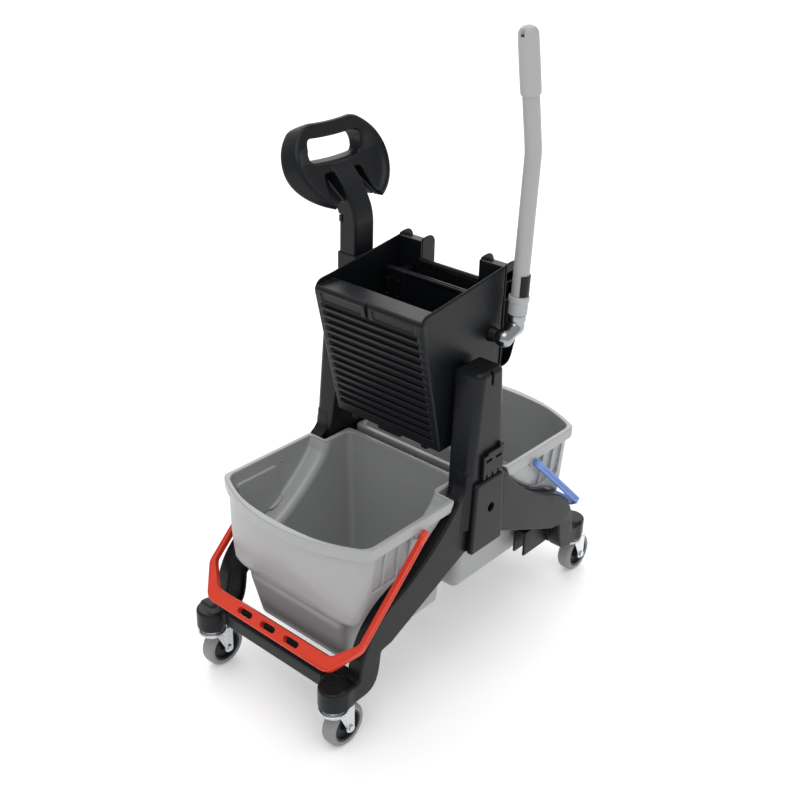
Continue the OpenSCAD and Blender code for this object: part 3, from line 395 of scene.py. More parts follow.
def softened(node, name, width, material, body):
    """A piece like a CAD node, with its flat faces made whole and its edges broken by a bevel."""
    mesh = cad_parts[node].data.copy()
    mesh.name = name
    made = bpy.data.objects.new(name, mesh)
    bpy.context.scene.collection.objects.link(made)
    weld = made.modifiers.new("weld", "WELD")
    weld.merge_threshold = 0.00001
    whole = made.modifiers.new("whole", "DECIMATE")
    whole.decimate_type = "DISSOLVE"
    whole.angle_limit = math.radians(1)
    edge = made.modifiers.new("edge", "BEVEL")
    edge.width = width / 1000
    edge.segments = 2
    edge.limit_method = "ANGLE"
    edge.angle_limit = math.radians(35)
    edge.miter_outer = "MITER_ARC"
    final = bpy.data.meshes.new_from_object(made.evaluated_get(bpy.context.evaluated_depsgraph_get()))
    bpy.data.objects.remove(made)
    bpy.data.meshes.remove(mesh)
    final.name = name
    final.shade_smooth()
    final.set_sharp_from_angle(angle=math.radians(50))
    return dress(bpy.data.objects.new(name, final), material, body, [node])


def cross_beam(x, y, z):
    side = np.abs(y)
    bar = block(x, side, z, (bar_back, -9, beam_low[2]), (beam_high[0], bar_end, beam_high[2]), 3)
    shelf_high = (bar_back + 3, rail_inner - 0.2, beam_high[2] - 0.5)
    shelf = block(x, side, z, (shelf_back, -9, beam_low[2]), shelf_high, 2)
    shelf = cut(shelf, (beam_low[0] - 1 + lift_run * (z - beam_low[2]) - x) * lift_rise, 2)
    groove = cut(np.abs(x - bar_back - 2) - 1, beam_high[2] - 2.5 - z, 0.5)
    return cut(np.minimum(bar, shelf), -groove, 0.6)


# The shelf's edge follows the slope along which the bucket is lifted out, at 50 degrees.
beam_low, beam_high = box_mm("rear_beam")
bar_back, bar_end, shelf_back = 316, post_y - 33, 260
lift_run, lift_rise = 0.839, 0.766
beam_skin = mould(cross_beam, beam_low, beam_high, 2.0, 0.3)
half_turn = Matrix.Rotation(math.pi, 4, "Z")
both_ends = (("front", half_turn), ("rear", None))
for end, turn in both_ends:
    black_moulding(end + "_cross_beam", beam_skin, "chassis", [end + "_beam"], turn)
softened("centre_spine", "centre_spine_plate", 1.6, black_polypropylene, "chassis")


# Castors. Each has a zinc-plated stem and upper race riveted into its post, a pressed steel fork
# that swivels under it, an axle bolt, a black moulded wheel centre and a grey rubber tyre.


def turned(profile, steps=64):
    """Skin of a profile of (radius, height, corner radius) turned about Z, in millimetres."""
    points2 = rounded(profile)
    count = len(points2)
    angles = np.arange(steps) * 2 * math.pi / steps
    ring = np.stack([np.cos(angles), np.sin(angles)], 1)
    points = np.concatenate(
        [np.concatenate([p[0] * ring, np.full((steps, 1), p[1])], 1) for p in points2]
    )
    faces = []
    for i in range(count):
        for k in range(steps):
            a, b = i * steps, ((i + 1) % count) * steps
            faces.append((a + k, a + (k + 1) % steps, b + (k + 1) % steps, b + k))
    tangent = np.roll(points2, -1, 0) - np.roll(points2, 1, 0)
    tangent /= np.linalg.norm(tangent, axis=1)[:, None]
    normals = np.concatenate(
        [np.concatenate([t[1] * ring, np.full((steps, 1), -t[0])], 1) for t in tangent]
    )
    return points, faces, normals


def bright_zinc(name, colour, roughness):
    """Zinc-plated steel: bright metal with a faint cloudy passivation and fine rolling marks."""
    material = blank_material(name)
    cloud_mm, mark_mm = 12, 1.5
    place = add_node(material, "ShaderNodeTexCoord", {}).outputs["Object"]
    cloud = add_node(
        material, "ShaderNodeTexNoise", {"Vector": place, "Scale": 1000 / cloud_mm, "Detail": 4.0}
    )
    mark = add_node(
        material, "ShaderNodeTexNoise", {"Vector": place, "Scale": 1000 / mark_mm, "Detail": 2.0}
    )
    gloss = add_node(
        material,
        "ShaderNodeMapRange",
        {"Value": cloud.outputs["Fac"], "To Min": roughness - 0.08, "To Max": roughness + 0.1},
    )
    bump = add_node(
        material,
        "ShaderNodeBump",
        {"Height": mark.outputs["Fac"], "Strength": 0.15, "Distance": 0.00003},
    )
    surface = add_node(
        material,
        "ShaderNodeBsdfPrincipled",
        {
            "Base Color": linear(colour),
            "Metallic": 1.0,
            "Roughness": gloss.outputs["Result"],
            "Normal": bump.outputs["Normal"],
        },
    )
    add_node(material, "ShaderNodeOutputMaterial", {"Surface": surface.outputs["BSDF"]})
    return material


# Zinc plate reads as pale, slightly blue metal. Grey rubber is matt, its tone clouded a little darker in
# places.
zinc_plate = bright_zinc("zinc_plated_pressed_steel", "#d9dcdf", 0.24)
grey_rubber = moulded_plastic("grey_rubber_moulded", "#909192", "#828384", 0.62, 2.5, 0.12)
hub_nylon = moulded_plastic("black_nylon_moulded", "#161719", "#111213", 0.38, 1.2, 0.03, 0.35)

castor_corners = {}
for end, sign_x in (("front", -1), ("rear", 1)):
    for side, sign_y in (("right", -1), ("left", 1)):
        castor_corners[end + "_" + side] = (sign_x * post_x, sign_y * post_y)

wheel_r, castor_trail, tyre_half, tyre_t = 40, 21.5, 14, 11
fork_top, fork_half, leg_t, axle_r = 81.5, 16.3, 3, 4
leg_half, crown_top, stem_r, skirt_r = 9.5, fork_top + 3.2, 6.2, 21.5
hub_half, rim_half, web_half = 16, 12, 5
tyre_profile = [
    (wheel_r - tyre_t, -tyre_half + 1, 1),
    (wheel_r - 6, -tyre_half, 3),
    (wheel_r - 1.2, -tyre_half + 4, 5),
    (wheel_r, 0, 40),
    (wheel_r - 1.2, tyre_half - 4, 5),
    (wheel_r - 6, tyre_half, 3),
    (wheel_r - tyre_t, tyre_half - 1, 1),
]
hub_rim = wheel_r - tyre_t - 0.1
hub_profile = [
    (axle_r + 0.1, -hub_half, 0.4),
    (axle_r + 5, -hub_half, 1),
    (axle_r + 7, -web_half, 2),
    (hub_rim - 6, -web_half, 2),
    (hub_rim - 3.5, -rim_half, 1),
    (hub_rim, -rim_half, 0.6),
]
hub_profile += [(radius, -across, r) for radius, across, r in hub_profile[::-1]]


def castor_fork(x, y, z):
    out = np.abs(y)
    radius = np.hypot(x, y)
    race = cut(radius - (post_r - 0.7), slab(z, fork_top - 1, fork_top + 5.2), 2.2)
    groove = np.hypot(radius - (post_r - 0.3), z - fork_top - 3) - 1.2
    race = cut(race, -groove, 0.5)
    skirt = cut(np.hypot(x - 4, y) - skirt_r, slab(z, fork_top - 4, fork_top + 2.6), 1.5)
    crown_high = (castor_trail + leg_half, fork_half + leg_t, crown_top)
    crown = block(x, out, z, (0, -5, fork_top - 0.2), crown_high, 1.5)
    leg = cut(fork_leg(x, z), slab(out, fork_half, fork_half + leg_t), 0.9)
    flute = np.hypot(out - fork_half - leg_t - 1.2, (x - 12.5) * 0.99 + (z - 62) * 0.1) - 2.2
    leg = cut(leg, -flute, 0.8)
    wheel_room = cut(slab(out, -1, fork_half), slab(z, -100, fork_top), 1)
    body = join(join(race, skirt, 1.5), join(crown, leg, 2), 2)
    body = cut(body, -wheel_room, 0.3)
    stem = radius - stem_r
    axle = np.hypot(x - castor_trail, z - wheel_r) - axle_r - 0.05
    return cut(cut(body, -stem, 0.2), -axle, 0.2)


fork_leg = outline(
    [
        (-8, crown_top, 0),
        (castor_trail + leg_half, crown_top, 2),
        (castor_trail + leg_half, wheel_r - leg_half, 9),
        (castor_trail - leg_half, wheel_r - leg_half, 9),
        (castor_trail - leg_half, wheel_r + 4, 8),
    ],
    0.7,
    12,
)
fork_skin = mould(castor_fork, (-27, -27, 29), (32, 27, 87), 1.0, 0.4)
tyre_skin = turned(tyre_profile, 96)
hub_skin = turned(hub_profile, 72)
quarter_turn = Matrix.Rotation(math.radians(90), 4, "X")
for corner, (x, y) in castor_corners.items():
    at_post = Matrix.Translation((x, y, 0))
    at_axle = Matrix.Translation((x + castor_trail, y, wheel_r)) @ quarter_turn
    castor, wheel = "castor_" + corner, "wheel_" + corner
    piece("fork_" + corner, fork_skin, zinc_plate, castor, ["castor_fork_" + corner], at_post)
    piece("tread_" + corner, tyre_skin, grey_rubber, wheel, ["tyre_" + corner], at_axle)
    piece("hub_" + corner, hub_skin, hub_nylon, wheel, ["wheel_hub_" + corner], at_axle)
    softened("castor_axle_" + corner, "axle_bolt_" + corner, 0.6, zinc_plate, castor)
softened("castor_stems", "castor_stem_set", 1.2, zinc_plate, "chassis")


# Towers. Two hollow tapered uprights of black polypropylene stand in the seats of the rails, with
# a slot at the top in which the wringer hangs. Their outer edges and tops are generously rounded.
tower_low, tower_high = box_mm("tower_right")
tower_foot, tower_head = 58, 33
tower_out, tower_in, tower_nod = 182, 141, 15
tower_t = tower_high[2] - tower_low[2]
slot_x, slot_w, slot_t = -2, 6, 24
accessory_x, accessory_z, accessory_r = 5, post_base + 238, 8.25
foot_fillet, foot_half, foot_top = 24, 96, seat_top + 110


def tower(x, y, z):
    out = -y
    up = (z - tower_low[2]) / tower_t
    taper = math.cos(math.atan((tower_foot - tower_head) / tower_t))
    lean = math.cos(math.atan(tower_nod / tower_t))
    flank = (np.abs(x) - tower_foot + (tower_foot - tower_head) * up) * taper
    face = out - tower_out
    back = (tower_in - tower_nod * up - out) * lean
    body = cut(cut(flank, face, 15), back, 4)
    body = cut(body, z - tower_high[2], 8)
    body = cut(body, tower_low[2] - z, 1)
    foot = join(flank, rail_outline(x, z) + 0.4, foot_fillet)
    foot = cut(foot, slab(out, rail_inner + 1, rail_outer - 0.3), rail_edge_r)
    foot = cut(cut(foot, slab(z, seat_top - 8, foot_top), 1), np.abs(x) - foot_half, 1)
    body = join(body, foot, 2)
    slot = cut(slab(x, slot_x - slot_w / 2, slot_x + slot_w / 2), tower_high[2] - slot_t - z, 1)
    hole = cut(np.hypot(x - accessory_x, z - accessory_z) - accessory_r - 2, tower_out - 9 - out, 1)
    return cut(cut(body, -slot, 1.2), -hole, 0.5)


tower_skin = mould(tower, tower_low - (40, 0, 12), tower_high + (40, 0, 0), 2.2, 0.3)
for side, turn in both_hands:
    black_moulding("tower_shell_" + side, tower_skin, "chassis", ["tower_" + side], turn)


# Lower covers and clip brackets. A shallow cover snaps over the foot of each tower, with a hole for
# accessories, and a slotted plate above it takes clip-on holders. Both are black polypropylene.
cover_low, cover_high = box_mm("lower_cover_right")
clip_low, clip_high = box_mm("clip_bracket_right")
cover_half, cover_spread, through = 38, 6, 300


def lower_cover(x, y, z):
    down = (cover_high[2] - z) / (cover_high[2] - cover_low[2])
    front = cut(np.abs(x) - cover_half - cover_spread * down, slab(z, cover_low[2], cover_high[2]), 7)
    shell = cut(front, slab(y, cover_low[1], -rail_outer), 5)
    notch = block(x, y, z, (-90, -tower_out, seat_top), (90, -150, 500), 0.5)
    hole = np.hypot(x - accessory_x, z - accessory_z) - accessory_r
    return cut(cut(shell, -notch, 0.5), -hole, 1)


def clip_bracket(x, y, z):
    a, b = x - clip_low[0], z - clip_low[2]
    wide, tall = clip_high[0] - clip_low[0], clip_high[2] - clip_low[2]
    plate = block(x, y, z, clip_low, clip_high, 1.6)
    step = wide / 5
    slots = [(-9, tall - 9, step, tall + 9), (step - 2, tall - 5, wide - step, tall + 9)]
    for i in range(2):
        left = step * (0.5 + 2.4 * i)
        slots.append((left, tall * 0.6, left + step * 1.5, tall * 0.6 + 4))
    for i in range(3):
        left = step * (0.7 + 1.4 * i)
        slots.append((left, -9, left + 4, 8))
    for left, base, right, top in slots:
        plate = cut(plate, -block(a, b, y, (left, base, -through), (right, top, through), 1), 0.5)
    return plate


cover_skin = mould(lower_cover, cover_low - 4, cover_high + 4, 1.6, 0.35)
clip_skin = mould(clip_bracket, clip_low, clip_high, 1.0, 0.4)
for side, turn in both_hands:
    black_moulding("foot_cover_" + side, cover_skin, "chassis", ["lower_cover_" + side], turn)
    black_moulding("clip_plate_" + side, clip_skin, "chassis", ["clip_bracket_" + side], turn)


# Push handle. A rectangular post stands in a socket on the left tower, bends outwards and carries
# a dished half-moon grip with a hand hole. It is black polypropylene, and a small catch holds it.
handle_low, handle_high = box_mm("push_handle")
sleeve_low, sleeve_high = box_mm("handle_sleeve")
handle_x, handle_y, bend_z = 28.5, 153, post_base + 683
handle_lean = math.radians(31)
post_half_w, post_half_l, post_bend_r = 25, 19.5, 70
moon_front, moon_back, moon_flare, hole_mid, hole_half = -21, 18, 9, 123, 70
shank_thin, shank_top, saddle_r, saddle_mid = 13, 95, 300, 467
bowl_d, bowl_fade, pocket_half, pocket_top = 14, 9, 45, 78
moon_half = [(58, 5, 3)] + bezier((58, 5), (90, 18), (117, 54), (117, 94))
moon_half += bezier((117, 94), (117, 132), (92, 162), (52, 178))
moon_outline = outline(
    moon_half + [(-a, b, r) for a, b, r in moon_half[::-1]] + [(-32, 18, 8), (32, 18, 8)]
)
hand_hole = outline(
    [
        (-hole_half, hole_mid + 17, 14),
        (hole_half, hole_mid + 17, 14),
        (hole_half - 10, hole_mid - 17, 15),
        (10 - hole_half, hole_mid - 17, 15),
    ]
)


def push_handle(x, y, z):
    a, b, c = x - handle_x, y - handle_y, z - bend_z
    across = b * math.cos(handle_lean) - c * math.sin(handle_lean)
    along = b * math.sin(handle_lean) + c * math.cos(handle_lean)
    side = np.abs(a)
    up_bend = c + post_bend_r * math.tan(handle_lean / 2)
    turn = np.arctan2(up_bend, post_bend_r - b)
    bent = post_bend_r - np.hypot(post_bend_r - b, up_bend)
    depth = np.where(turn < 0, b, np.where(turn > handle_lean, across, bent))
    fade = shank_thin * np.clip((along - 40) / 55, 0, 1) ** 1.5
    shank = cut(side - post_half_w, slab(depth, fade - post_half_l, post_half_l - fade), 5)
    shank = cut(cut(shank, handle_low[2] - z, 1), along - shank_top, 4)
    rake = np.clip((moon_back - across) / (moon_back - moon_front), 0, 1)
    edge = moon_outline(a - 2, along) + moon_flare * rake**1.5
    saddle = saddle_r - np.hypot(a, along - saddle_mid)
    back = moon_back - 27 + 27 * np.sin(np.clip((along - 16) / 84, 0, 1) * math.pi / 2)
    moon = cut(cut(edge, saddle, 14), moon_front - across, 7)
    moon = cut(moon, across - back, 8)
    inward = np.maximum(-edge - 4, 0)
    bowl = bowl_d * (1 - np.exp(-inward / bowl_fade)) * np.clip((130 - along) / 30, 0, 1)
    moon = cut(moon, moon_front + bowl - across, 1.5)
    wide = pocket_half + 0.16 * (80 - along)
    pocket = cut(cut(slab(side, 0, wide), along - pocket_top, 8), across - back + 3, 3)
    body = join(cut(moon, -pocket, 3), shank, 4)
    drop = 4 * (1 - (a / hole_half) ** 2)
    hole = hand_hole(a + 3, along + drop - 0.3 * (across - moon_front))
    hole = join(hole, hand_hole(a + 3, along + drop - 9 + 0.6 * (moon_back - across)), 3)
    body = cut(body, -hole, 6)
    catch = block(a, b, c, (-40, 10.5, -14.6), (-18, 40, -1.4), 0.3)
    return cut(body, -catch, 0.3)


def handle_catch(x, y, z):
    return block(x - handle_x, y - handle_y, z - bend_z, (-26.5, 11, -14), (-21, 18.5, -2), 1.2)


def handle_sleeve(x, y, z):
    a, b = np.abs(x - handle_x), np.abs(y - handle_y)
    socket = block(a, b, z, (-9, -9, sleeve_base), (27, 21.5, sleeve_top), 2.5)
    heel = cut(sleeve_heel(x, z), slab(y, 145, 168), 2)
    bore = block(a, b, z, (-9, -9, sleeve_base + 10), (25.2, 19.7, 900), 4)
    return cut(join(socket, heel, 2), -bore, 0.6)


sleeve_base, sleeve_top = sleeve_high[2] - 122, sleeve_high[2] - 6
sleeve_heel = outline(
    [
        (41.1, sleeve_base - 90, 2),
        (handle_x + 25, sleeve_base - 27, 4),
        (handle_x + 25, sleeve_base + 4, 0),
        (33.3, sleeve_base + 4, 0),
    ]
)
handle_skin = mould(push_handle, handle_low - 24, handle_high + 24, 2.0, 0.5)
sleeve_skin = mould(handle_sleeve, sleeve_low - 6, sleeve_high + 6, 1.6, 0.35)
catch_skin = mould(handle_catch, (0, 162, bend_z - 16), (10, 174, bend_z), 0.8, 0.5)
black_moulding("handle_post_and_grip", handle_skin, "chassis", ["push_handle"])
black_moulding("handle_socket", sleeve_skin, "chassis", ["handle_sleeve"])
black_moulding("handle_catch_button", catch_skin, "catch", ["handle_catch"])


# Buckets. Two alike buckets of grey polypropylene hang on the rails. Each has a narrow body between
# the rails and a wide upper part that rests on them, a turned rim and a sunk panel at its front.
# Grey polypropylene, moulded in a polished tool: an even mid grey with a soft gloss.
grey_polypropylene = moulded_plastic("grey_polypropylene_moulded", "#a9aaab", "#a1a2a3", 0.3, 1.6, 0.02)

bucket_low, bucket_high = box_mm("rear_bucket")
rim_t, rim_proud, bucket_wall, panel_d = 22, 5, 4, 5
neck_half, step_u, bulge = 134, 69.4, 50
wide_half, front_u, rim_top = bucket_high[1], bucket_high[0], bucket_high[2]
bucket_depth = rim_top - bucket_low[2]
flank_draft, front_draft, core_draft = 27 / bucket_depth, 56 / bucket_depth, 19 / bucket_depth
panel_low, panel_high, panel_ribs = (176, 146, rim_top - 96), (262, 200, rim_top - 27), (203, 236)
boss_r, recess_d = 11, 5
bulge_r = (wide_half**2 + bulge**2) / (2 * bulge)
bulge_mid = front_u - bulge_r
corner_a = math.asin(wide_half / bulge_r)
corner_x = bulge_mid + bulge_r * math.cos(corner_a)
bucket_front = [
    (bulge_mid + bulge_r * math.cos(a), wide_half * math.sin(a) / math.sin(corner_a), 0)
    for a in corner_a * np.linspace(-0.8, 0.8, 9)
]
rim_plan = outline(
    [(bucket_low[0], neck_half, 8), (bucket_low[0], -neck_half, 8), (step_u, -neck_half, 7)]
    + [(step_u, -wide_half, 9), (corner_x, -wide_half, 16)]
    + bucket_front
    + [(corner_x, wide_half, 16), (step_u, wide_half, 9)]
    + [(step_u, neck_half, 7)]
)
core_side = outline(
    [
        (bucket_low[0] + 15, bucket_low[2], 14),
        (front_u - 69, bucket_low[2], 16),
        (front_u - 47, bucket_low[2] + 90, 40),
        (front_u - 41, rim_top + 60, 0),
        (bucket_low[0] + 5, rim_top + 60, 0),
    ]
)
sweep_gap = 0.8
over_rails = outline(
    [(step_u + 5, rim_top + 80, 0), (step_u + 5, rim_top - 4, 0)]
    + [(x, z + sweep_gap, 0) for x, z, r in rail_sweep[2:]]
    + [(x, z + sweep_gap, 0) for x, z, r in rail_nose if z > post_top + 68]
    + [(front_u + 60, post_top + 68, 0), (front_u + 60, rim_top + 80, 0)]
)
recess_low, recess_top = bucket_low[2] - 40, rim_top - 148
front_panel = outline(
    [(-112, recess_low, 0), (112, recess_low, 0), (84, recess_top, 26), (-84, recess_top, 26)]
)


def bucket_body(x, y, z):
    drop = rim_top - z
    side = np.abs(y)
    flank = (side - (wide_half - rim_proud - drop * flank_draft)) * math.cos(flank_draft)
    round_front = np.hypot(x - bulge_mid, y) - (bulge_r - rim_proud)
    raked_front = (x - (front_u - rim_proud - drop * front_draft)) * math.cos(front_draft)
    front = cut(round_front, raked_front, 20)
    wide = cut(cut(over_rails(x, z), flank, 11), front, 16)
    recess = cut(front_panel(y, z), -front - recess_d, 4)
    wide = cut(wide, -recess, 4)
    core_flank = (side - (neck_half - 6 - drop * core_draft)) * math.cos(core_draft)
    core = cut(core_side(x, z), core_flank, 16)
    return join(core, wide, 9)


def bucket(x, y, z):
    body = bucket_body(x, y, z)
    side = np.abs(y)
    panel = block(x, side, z, panel_low, panel_high, 3)
    for rib in panel_ribs:
        panel = cut(panel, -slab(x, rib - 2.5, rib + 2.5), 1)
    outer = cut(body, -cut(panel, -body - panel_d, 0.5), 1)
    rim = cut(rim_plan(x, y), slab(z, rim_top - rim_t, rim_top + 30), 3)
    neck = cut(x - step_u - 8, side - neck_half, 0)
    rim = cut(rim, np.minimum(over_rails(x, z), neck), 1)
    outer = join(outer, rim, 2)
    boss = cut(np.hypot(x - bail_x, z - bail_z) - boss_r, slab(side, 140, wide_half), 1.5)
    outer = cut(join(outer, boss, 1.5), z - rim_top, 2)
    inside = cut(body + bucket_wall, -cut(panel - bucket_wall, -body - panel_d - bucket_wall, 1), 1)
    return cut(outer, -inside, 1.8)


def both_sides(skin):
    """A skin and its mirror image across the trolley, as one."""
    points, faces, normals = skin
    flip = np.array((1, -1, 1))
    mirrored = [tuple(i + len(points) for i in f[::-1]) for f in faces]
    both = np.concatenate([points, points * flip])
    return both, faces + mirrored, np.concatenate([normals, normals * flip])


bail_x, bail_z, stud_r = 160, post_base + 254, 5
stud_points, stud_faces, stud_normals = turned(
    [(0.2, 160, 0), (stud_r, 160, 0.5), (stud_r, 179, 1), (0.2, 179, 0)], 40
)
stud_turn = np.array(Matrix.Rotation(math.radians(-90), 3, "X"))
stud_points = stud_points @ stud_turn.T + (bail_x, 0, bail_z)
stud_skin = both_sides((stud_points, stud_faces, stud_normals @ stud_turn.T))
bucket_skin = mould(bucket, bucket_low, bucket_high, 2.2, 0.22)
bucket_pieces = (("_tub", bucket_skin, "_bucket"), ("_bail_studs", stud_skin, "_bail_pins"))
for end, turn in both_ends:
    for name, skin, node in bucket_pieces:
        body = end + "_bucket_body"
        piece(end + name, skin, grey_polypropylene, body, [end + node], turn)


# Bails. The carrying bail of each bucket is a flat moulding with grooved arms, cranked corners and
# a grip with three slots: red for the clean bucket, blue for the other. They are polypropylene too.
red_polypropylene = moulded_plastic("red_polypropylene_moulded", "#dc3a1c", "#cf3318", 0.36, 1.2, 0.03)
blue_polypropylene = moulded_plastic("blue_polypropylene_moulded", "#5f86cf", "#567cc4", 0.36, 1.2, 0.03)

bail_rest = math.radians(44)
bail_in, bail_arm, bail_t, grip_w, grip_l = 174, 9.5, 13.5, 26, 290
slot_gap, slot_half, slot_r = 56, 12, 5.5
bail_reach = (post_x - bail_x) / math.cos(bail_rest)
crank = bail_reach - 52
arm_half = [
    (crank + 8, bail_in + bail_arm, 22),
    (-7, bail_in + bail_arm, 3),
    (-7, bail_in, 0),
    (crank, bail_in, 16),
    (bail_reach - grip_w / 2, grip_l / 2 - 8, 20),
]
bail_outline = outline(
    [(bail_reach + grip_w / 2, -grip_l / 2, 26), (bail_reach + grip_w / 2, grip_l / 2, 26)]
    + arm_half
    + [(p, -q, r) for p, q, r in arm_half[::-1]],
    1.0,
)


def bail(p, q, n):
    arch = bail_outline(p, q)
    eye = block(p, np.abs(q), n, (-8.5, bail_in, -7.2), (9, bail_in + bail_arm, 7.2), 3.5)
    flat = cut(cut(arch, slab(n, -bail_t / 2, bail_t / 2), 2.5), -p, 0.5)
    body = join(flat, eye, 2)
    for i in (-1, 0, 1):
        slot = np.hypot(np.maximum(np.abs(q - slot_gap * i) - slot_half, 0), p - bail_reach) - slot_r
        body = cut(body, -slot, 1.2)
    groove = cut(arch + 2.6, bail_t / 2 - 1.6 - np.abs(n), 0.5)
    groove = cut(groove, 14 - p, 1)
    groove = cut(groove, 90 - np.abs(q), 3)
    body = cut(body, -groove, 0.6)
    side_groove = cut(np.hypot(n, np.abs(q) - bail_in - bail_arm) - 1.6, slab(p, 16, crank - 6), 1)
    body = cut(body, -side_groove, 0.5)
    bore = cut(np.hypot(p, n) - stud_r - 0.1, np.abs(q) - bail_in - 5.5, 0.3)
    return cut(body, -bore, 0.5)


bail_skin = mould(bail, (-10, -184, -9.5), (bail_reach + 14, 184, 9.5), 1.4, 0.3)
at_studs = Matrix.Translation((bail_x, 0, bail_z)) @ Matrix.Rotation(bail_rest, 4, "Y")
bail_kinds = (
    ("front", red_polypropylene, "bail_red", half_turn @ at_studs),
    ("rear", blue_polypropylene, "bail_blue", at_studs),
)
for end, plastic, colour, turn in bail_kinds:
    piece(end + "_carry_bail", bail_skin, plastic, end + "_bail_body", [end + "_bail"], turn)


# Wringer hopper. The open box that takes the mop hangs between the towers: a grooved front wall that
# leans out, a level ledge along its lip, and two side walls that rise to the rear. Its lugs hang in
# the slots of the towers. All of it is black polypropylene.
hopper_low, hopper_high = box_mm("wringer_hopper")
hopper_half, hopper_wall = hopper_high[1], 4
hopper_base, lip_top, wall_top = post_base + 342, post_base + 597, post_base + 636
hopper_front, hopper_lean, wall_rise = 55, 62, 13
hopper_t = lip_top - hopper_base
tilt = math.atan(hopper_lean / hopper_t)
front_l = hopper_t / math.cos(tilt)
ledge_in, ledge_t = -64, 7
groove_count, groove_first, groove_d, lip_t = 14, 16, 6, 33
groove_gap = (front_l - 42 - groove_first) / (groove_count - 1)
front_wall, knuckle_y, knuckle_half, bar_half = 10, 80, 7, 26
back_end, back_low = 104, post_base + 446


def front_point(n, s, r):
    """Corner at a depth n behind the face of the leaning front wall, and s up along it."""
    x = -hopper_front + n * math.cos(tilt) - s * math.sin(tilt)
    return x, hopper_base + n * math.sin(tilt) + s * math.cos(tilt), r


side_outline = outline(
    [
        front_point(1, -2, 5),
        front_point(1, front_l + 8, 19),
        (-72, lip_top + wall_rise, 60),
        (back_end, wall_top, 2),
        (back_end, back_low, 3),
        (back_end - 42, hopper_base, 4),
    ],
    1.2,
)


def wringer_hopper(x, y, z):
    side = np.abs(y)
    dx, dz = x + hopper_front, z - hopper_base
    n = dx * math.cos(tilt) + dz * math.sin(tilt)
    s = dz * math.cos(tilt) - dx * math.sin(tilt)
    from_top = s - front_l
    outer = cut(side_outline(x, z), side - hopper_half, 5)
    wall = cut(outer, hopper_half - hopper_wall - side, 1)
    edge_x = back_end - 20 * np.clip((lip_top + 11 - z) / 165, 0, 1) ** 1.2
    wall = cut(wall, -cut(edge_x - x, hopper_half - 2 - side, 0.5), 0.8)
    below_ledge = cut(outer, z - lip_top, 7)
    front = cut(below_ledge, n - front_wall, 0.5)
    ledge = cut(below_ledge, cut(x - ledge_in, lip_top - ledge_t - z, 1), 1)
    body = join(join(front, ledge, 2), wall, 1)
    row = s - groove_first - groove_gap / 2
    row = row - groove_gap * np.clip(np.round(row / groove_gap), 0, groove_count - 1)
    floor_n = 1 + groove_d * np.clip((hopper_half - 11 - side) / 9, 0, 1)
    groove = cut(np.abs(row) - groove_gap * 0.27, n - floor_n, 1.5)
    panel = cut(slab(side, 12, hopper_half - 16), slab(from_top, 7 - lip_t, -10), 4)
    notch = cut(side - 4, slab(from_top, -lip_t - 3, -3), 1)
    body = cut(cut(body, -groove, 1.6), -cut(panel, n - 3.2, 1.5), 1.5)
    body = cut(body, -cut(notch, n - 7, 1), 1)
    knuckles = np.minimum(np.abs(side - knuckle_y) - knuckle_half, side - bar_half)
    hinge = cut(cut(knuckles, slab(x, -50, -41), 2), slab(z, hopper_low[2], hopper_base + 6), 2)
    bush = np.hypot(x - gear_x, z - gear_z) - 12.05
    return cut(np.minimum(body, hinge), -bush, 0.3)


def hanging_lug(x, y, z):
    side = np.abs(y)
    lug_half = slot_w / 2 - 0.3
    lug = cut(slab(x, slot_x - lug_half, slot_x + lug_half), slab(side, hopper_half, 176), 0.5)
    return cut(lug, cut(z - tower_high[2] + 0.4, tower_high[2] - slot_t + 0.6 - z, 0.5), 0.5)


gear_x, gear_z = 74, post_base + 521
hopper_skin = mould(wringer_hopper, hopper_low - 2, hopper_high + 2, 1.6, 0.3)
lug_skin = mould(hanging_lug, (-6, -178, tower_high[2] - slot_t), (2, 178, tower_high[2]), 1.0, 0.2)
black_moulding("hopper", hopper_skin, "wringer", ["wringer_hopper"])
black_moulding("hopper_hanging_lugs", lug_skin, "wringer", ["hanger_lugs"])
softened("drain_grid", "hopper_drain_grid", 0.8, black_polypropylene, "wringer")


# Rear wall and gear housings. The rear wall is cut out between two wings, with a round bar along the
# cut-out and a window for each rack. Behind each wing a housing with two standing plates and ribs on
# its outer side covers the gears. They are moulded with the hopper's black polypropylene.
back_wall_low, back_wall_high = box_mm("wringer_back")
housing_low, housing_high = box_mm("gear_cover_right")
cutout_half, cutout_top, wing_top = 64.5, post_base + 602, wall_top - 2
window_low, window_top, window_half, rack_y = post_base + 460, post_base + 584.4, 10, 86
housing_top, trough_t, housing_wall = wall_top + 3, 14, 3
rib_gap, rib_first, rib_half = 32, gear_z + 20, 1.4
rack_way_low = (housing_low[0] + 10, rack_y - 9, gear_z + 37)
rack_way_high = (200, rack_y + 9, gear_z + 66)


def rear_wall(x, y, z):
    side = np.abs(y)
    sheet = join(z - cutout_top, cut(z - wing_top, cutout_half - side, 1.2), 3)
    sheet = cut(cut(sheet, back_wall_low[2] - z, 2), side - back_wall_high[1], 0.5)
    sheet = cut(sheet, slab(x, back_wall_low[0], back_wall_high[0]), 1.2)
    bar = np.hypot(x - back_wall_high[0] + 2, z - cutout_top + 4.5) - 5
    body = join(sheet, cut(bar, side - cutout_half - 2, 1), 2)
    low, high = (rack_y - window_half, window_low, 0), (rack_y + window_half, window_top, through)
    window = block(side, z, x, low, high, 1.5)
    return cut(body, -window, 0.8)


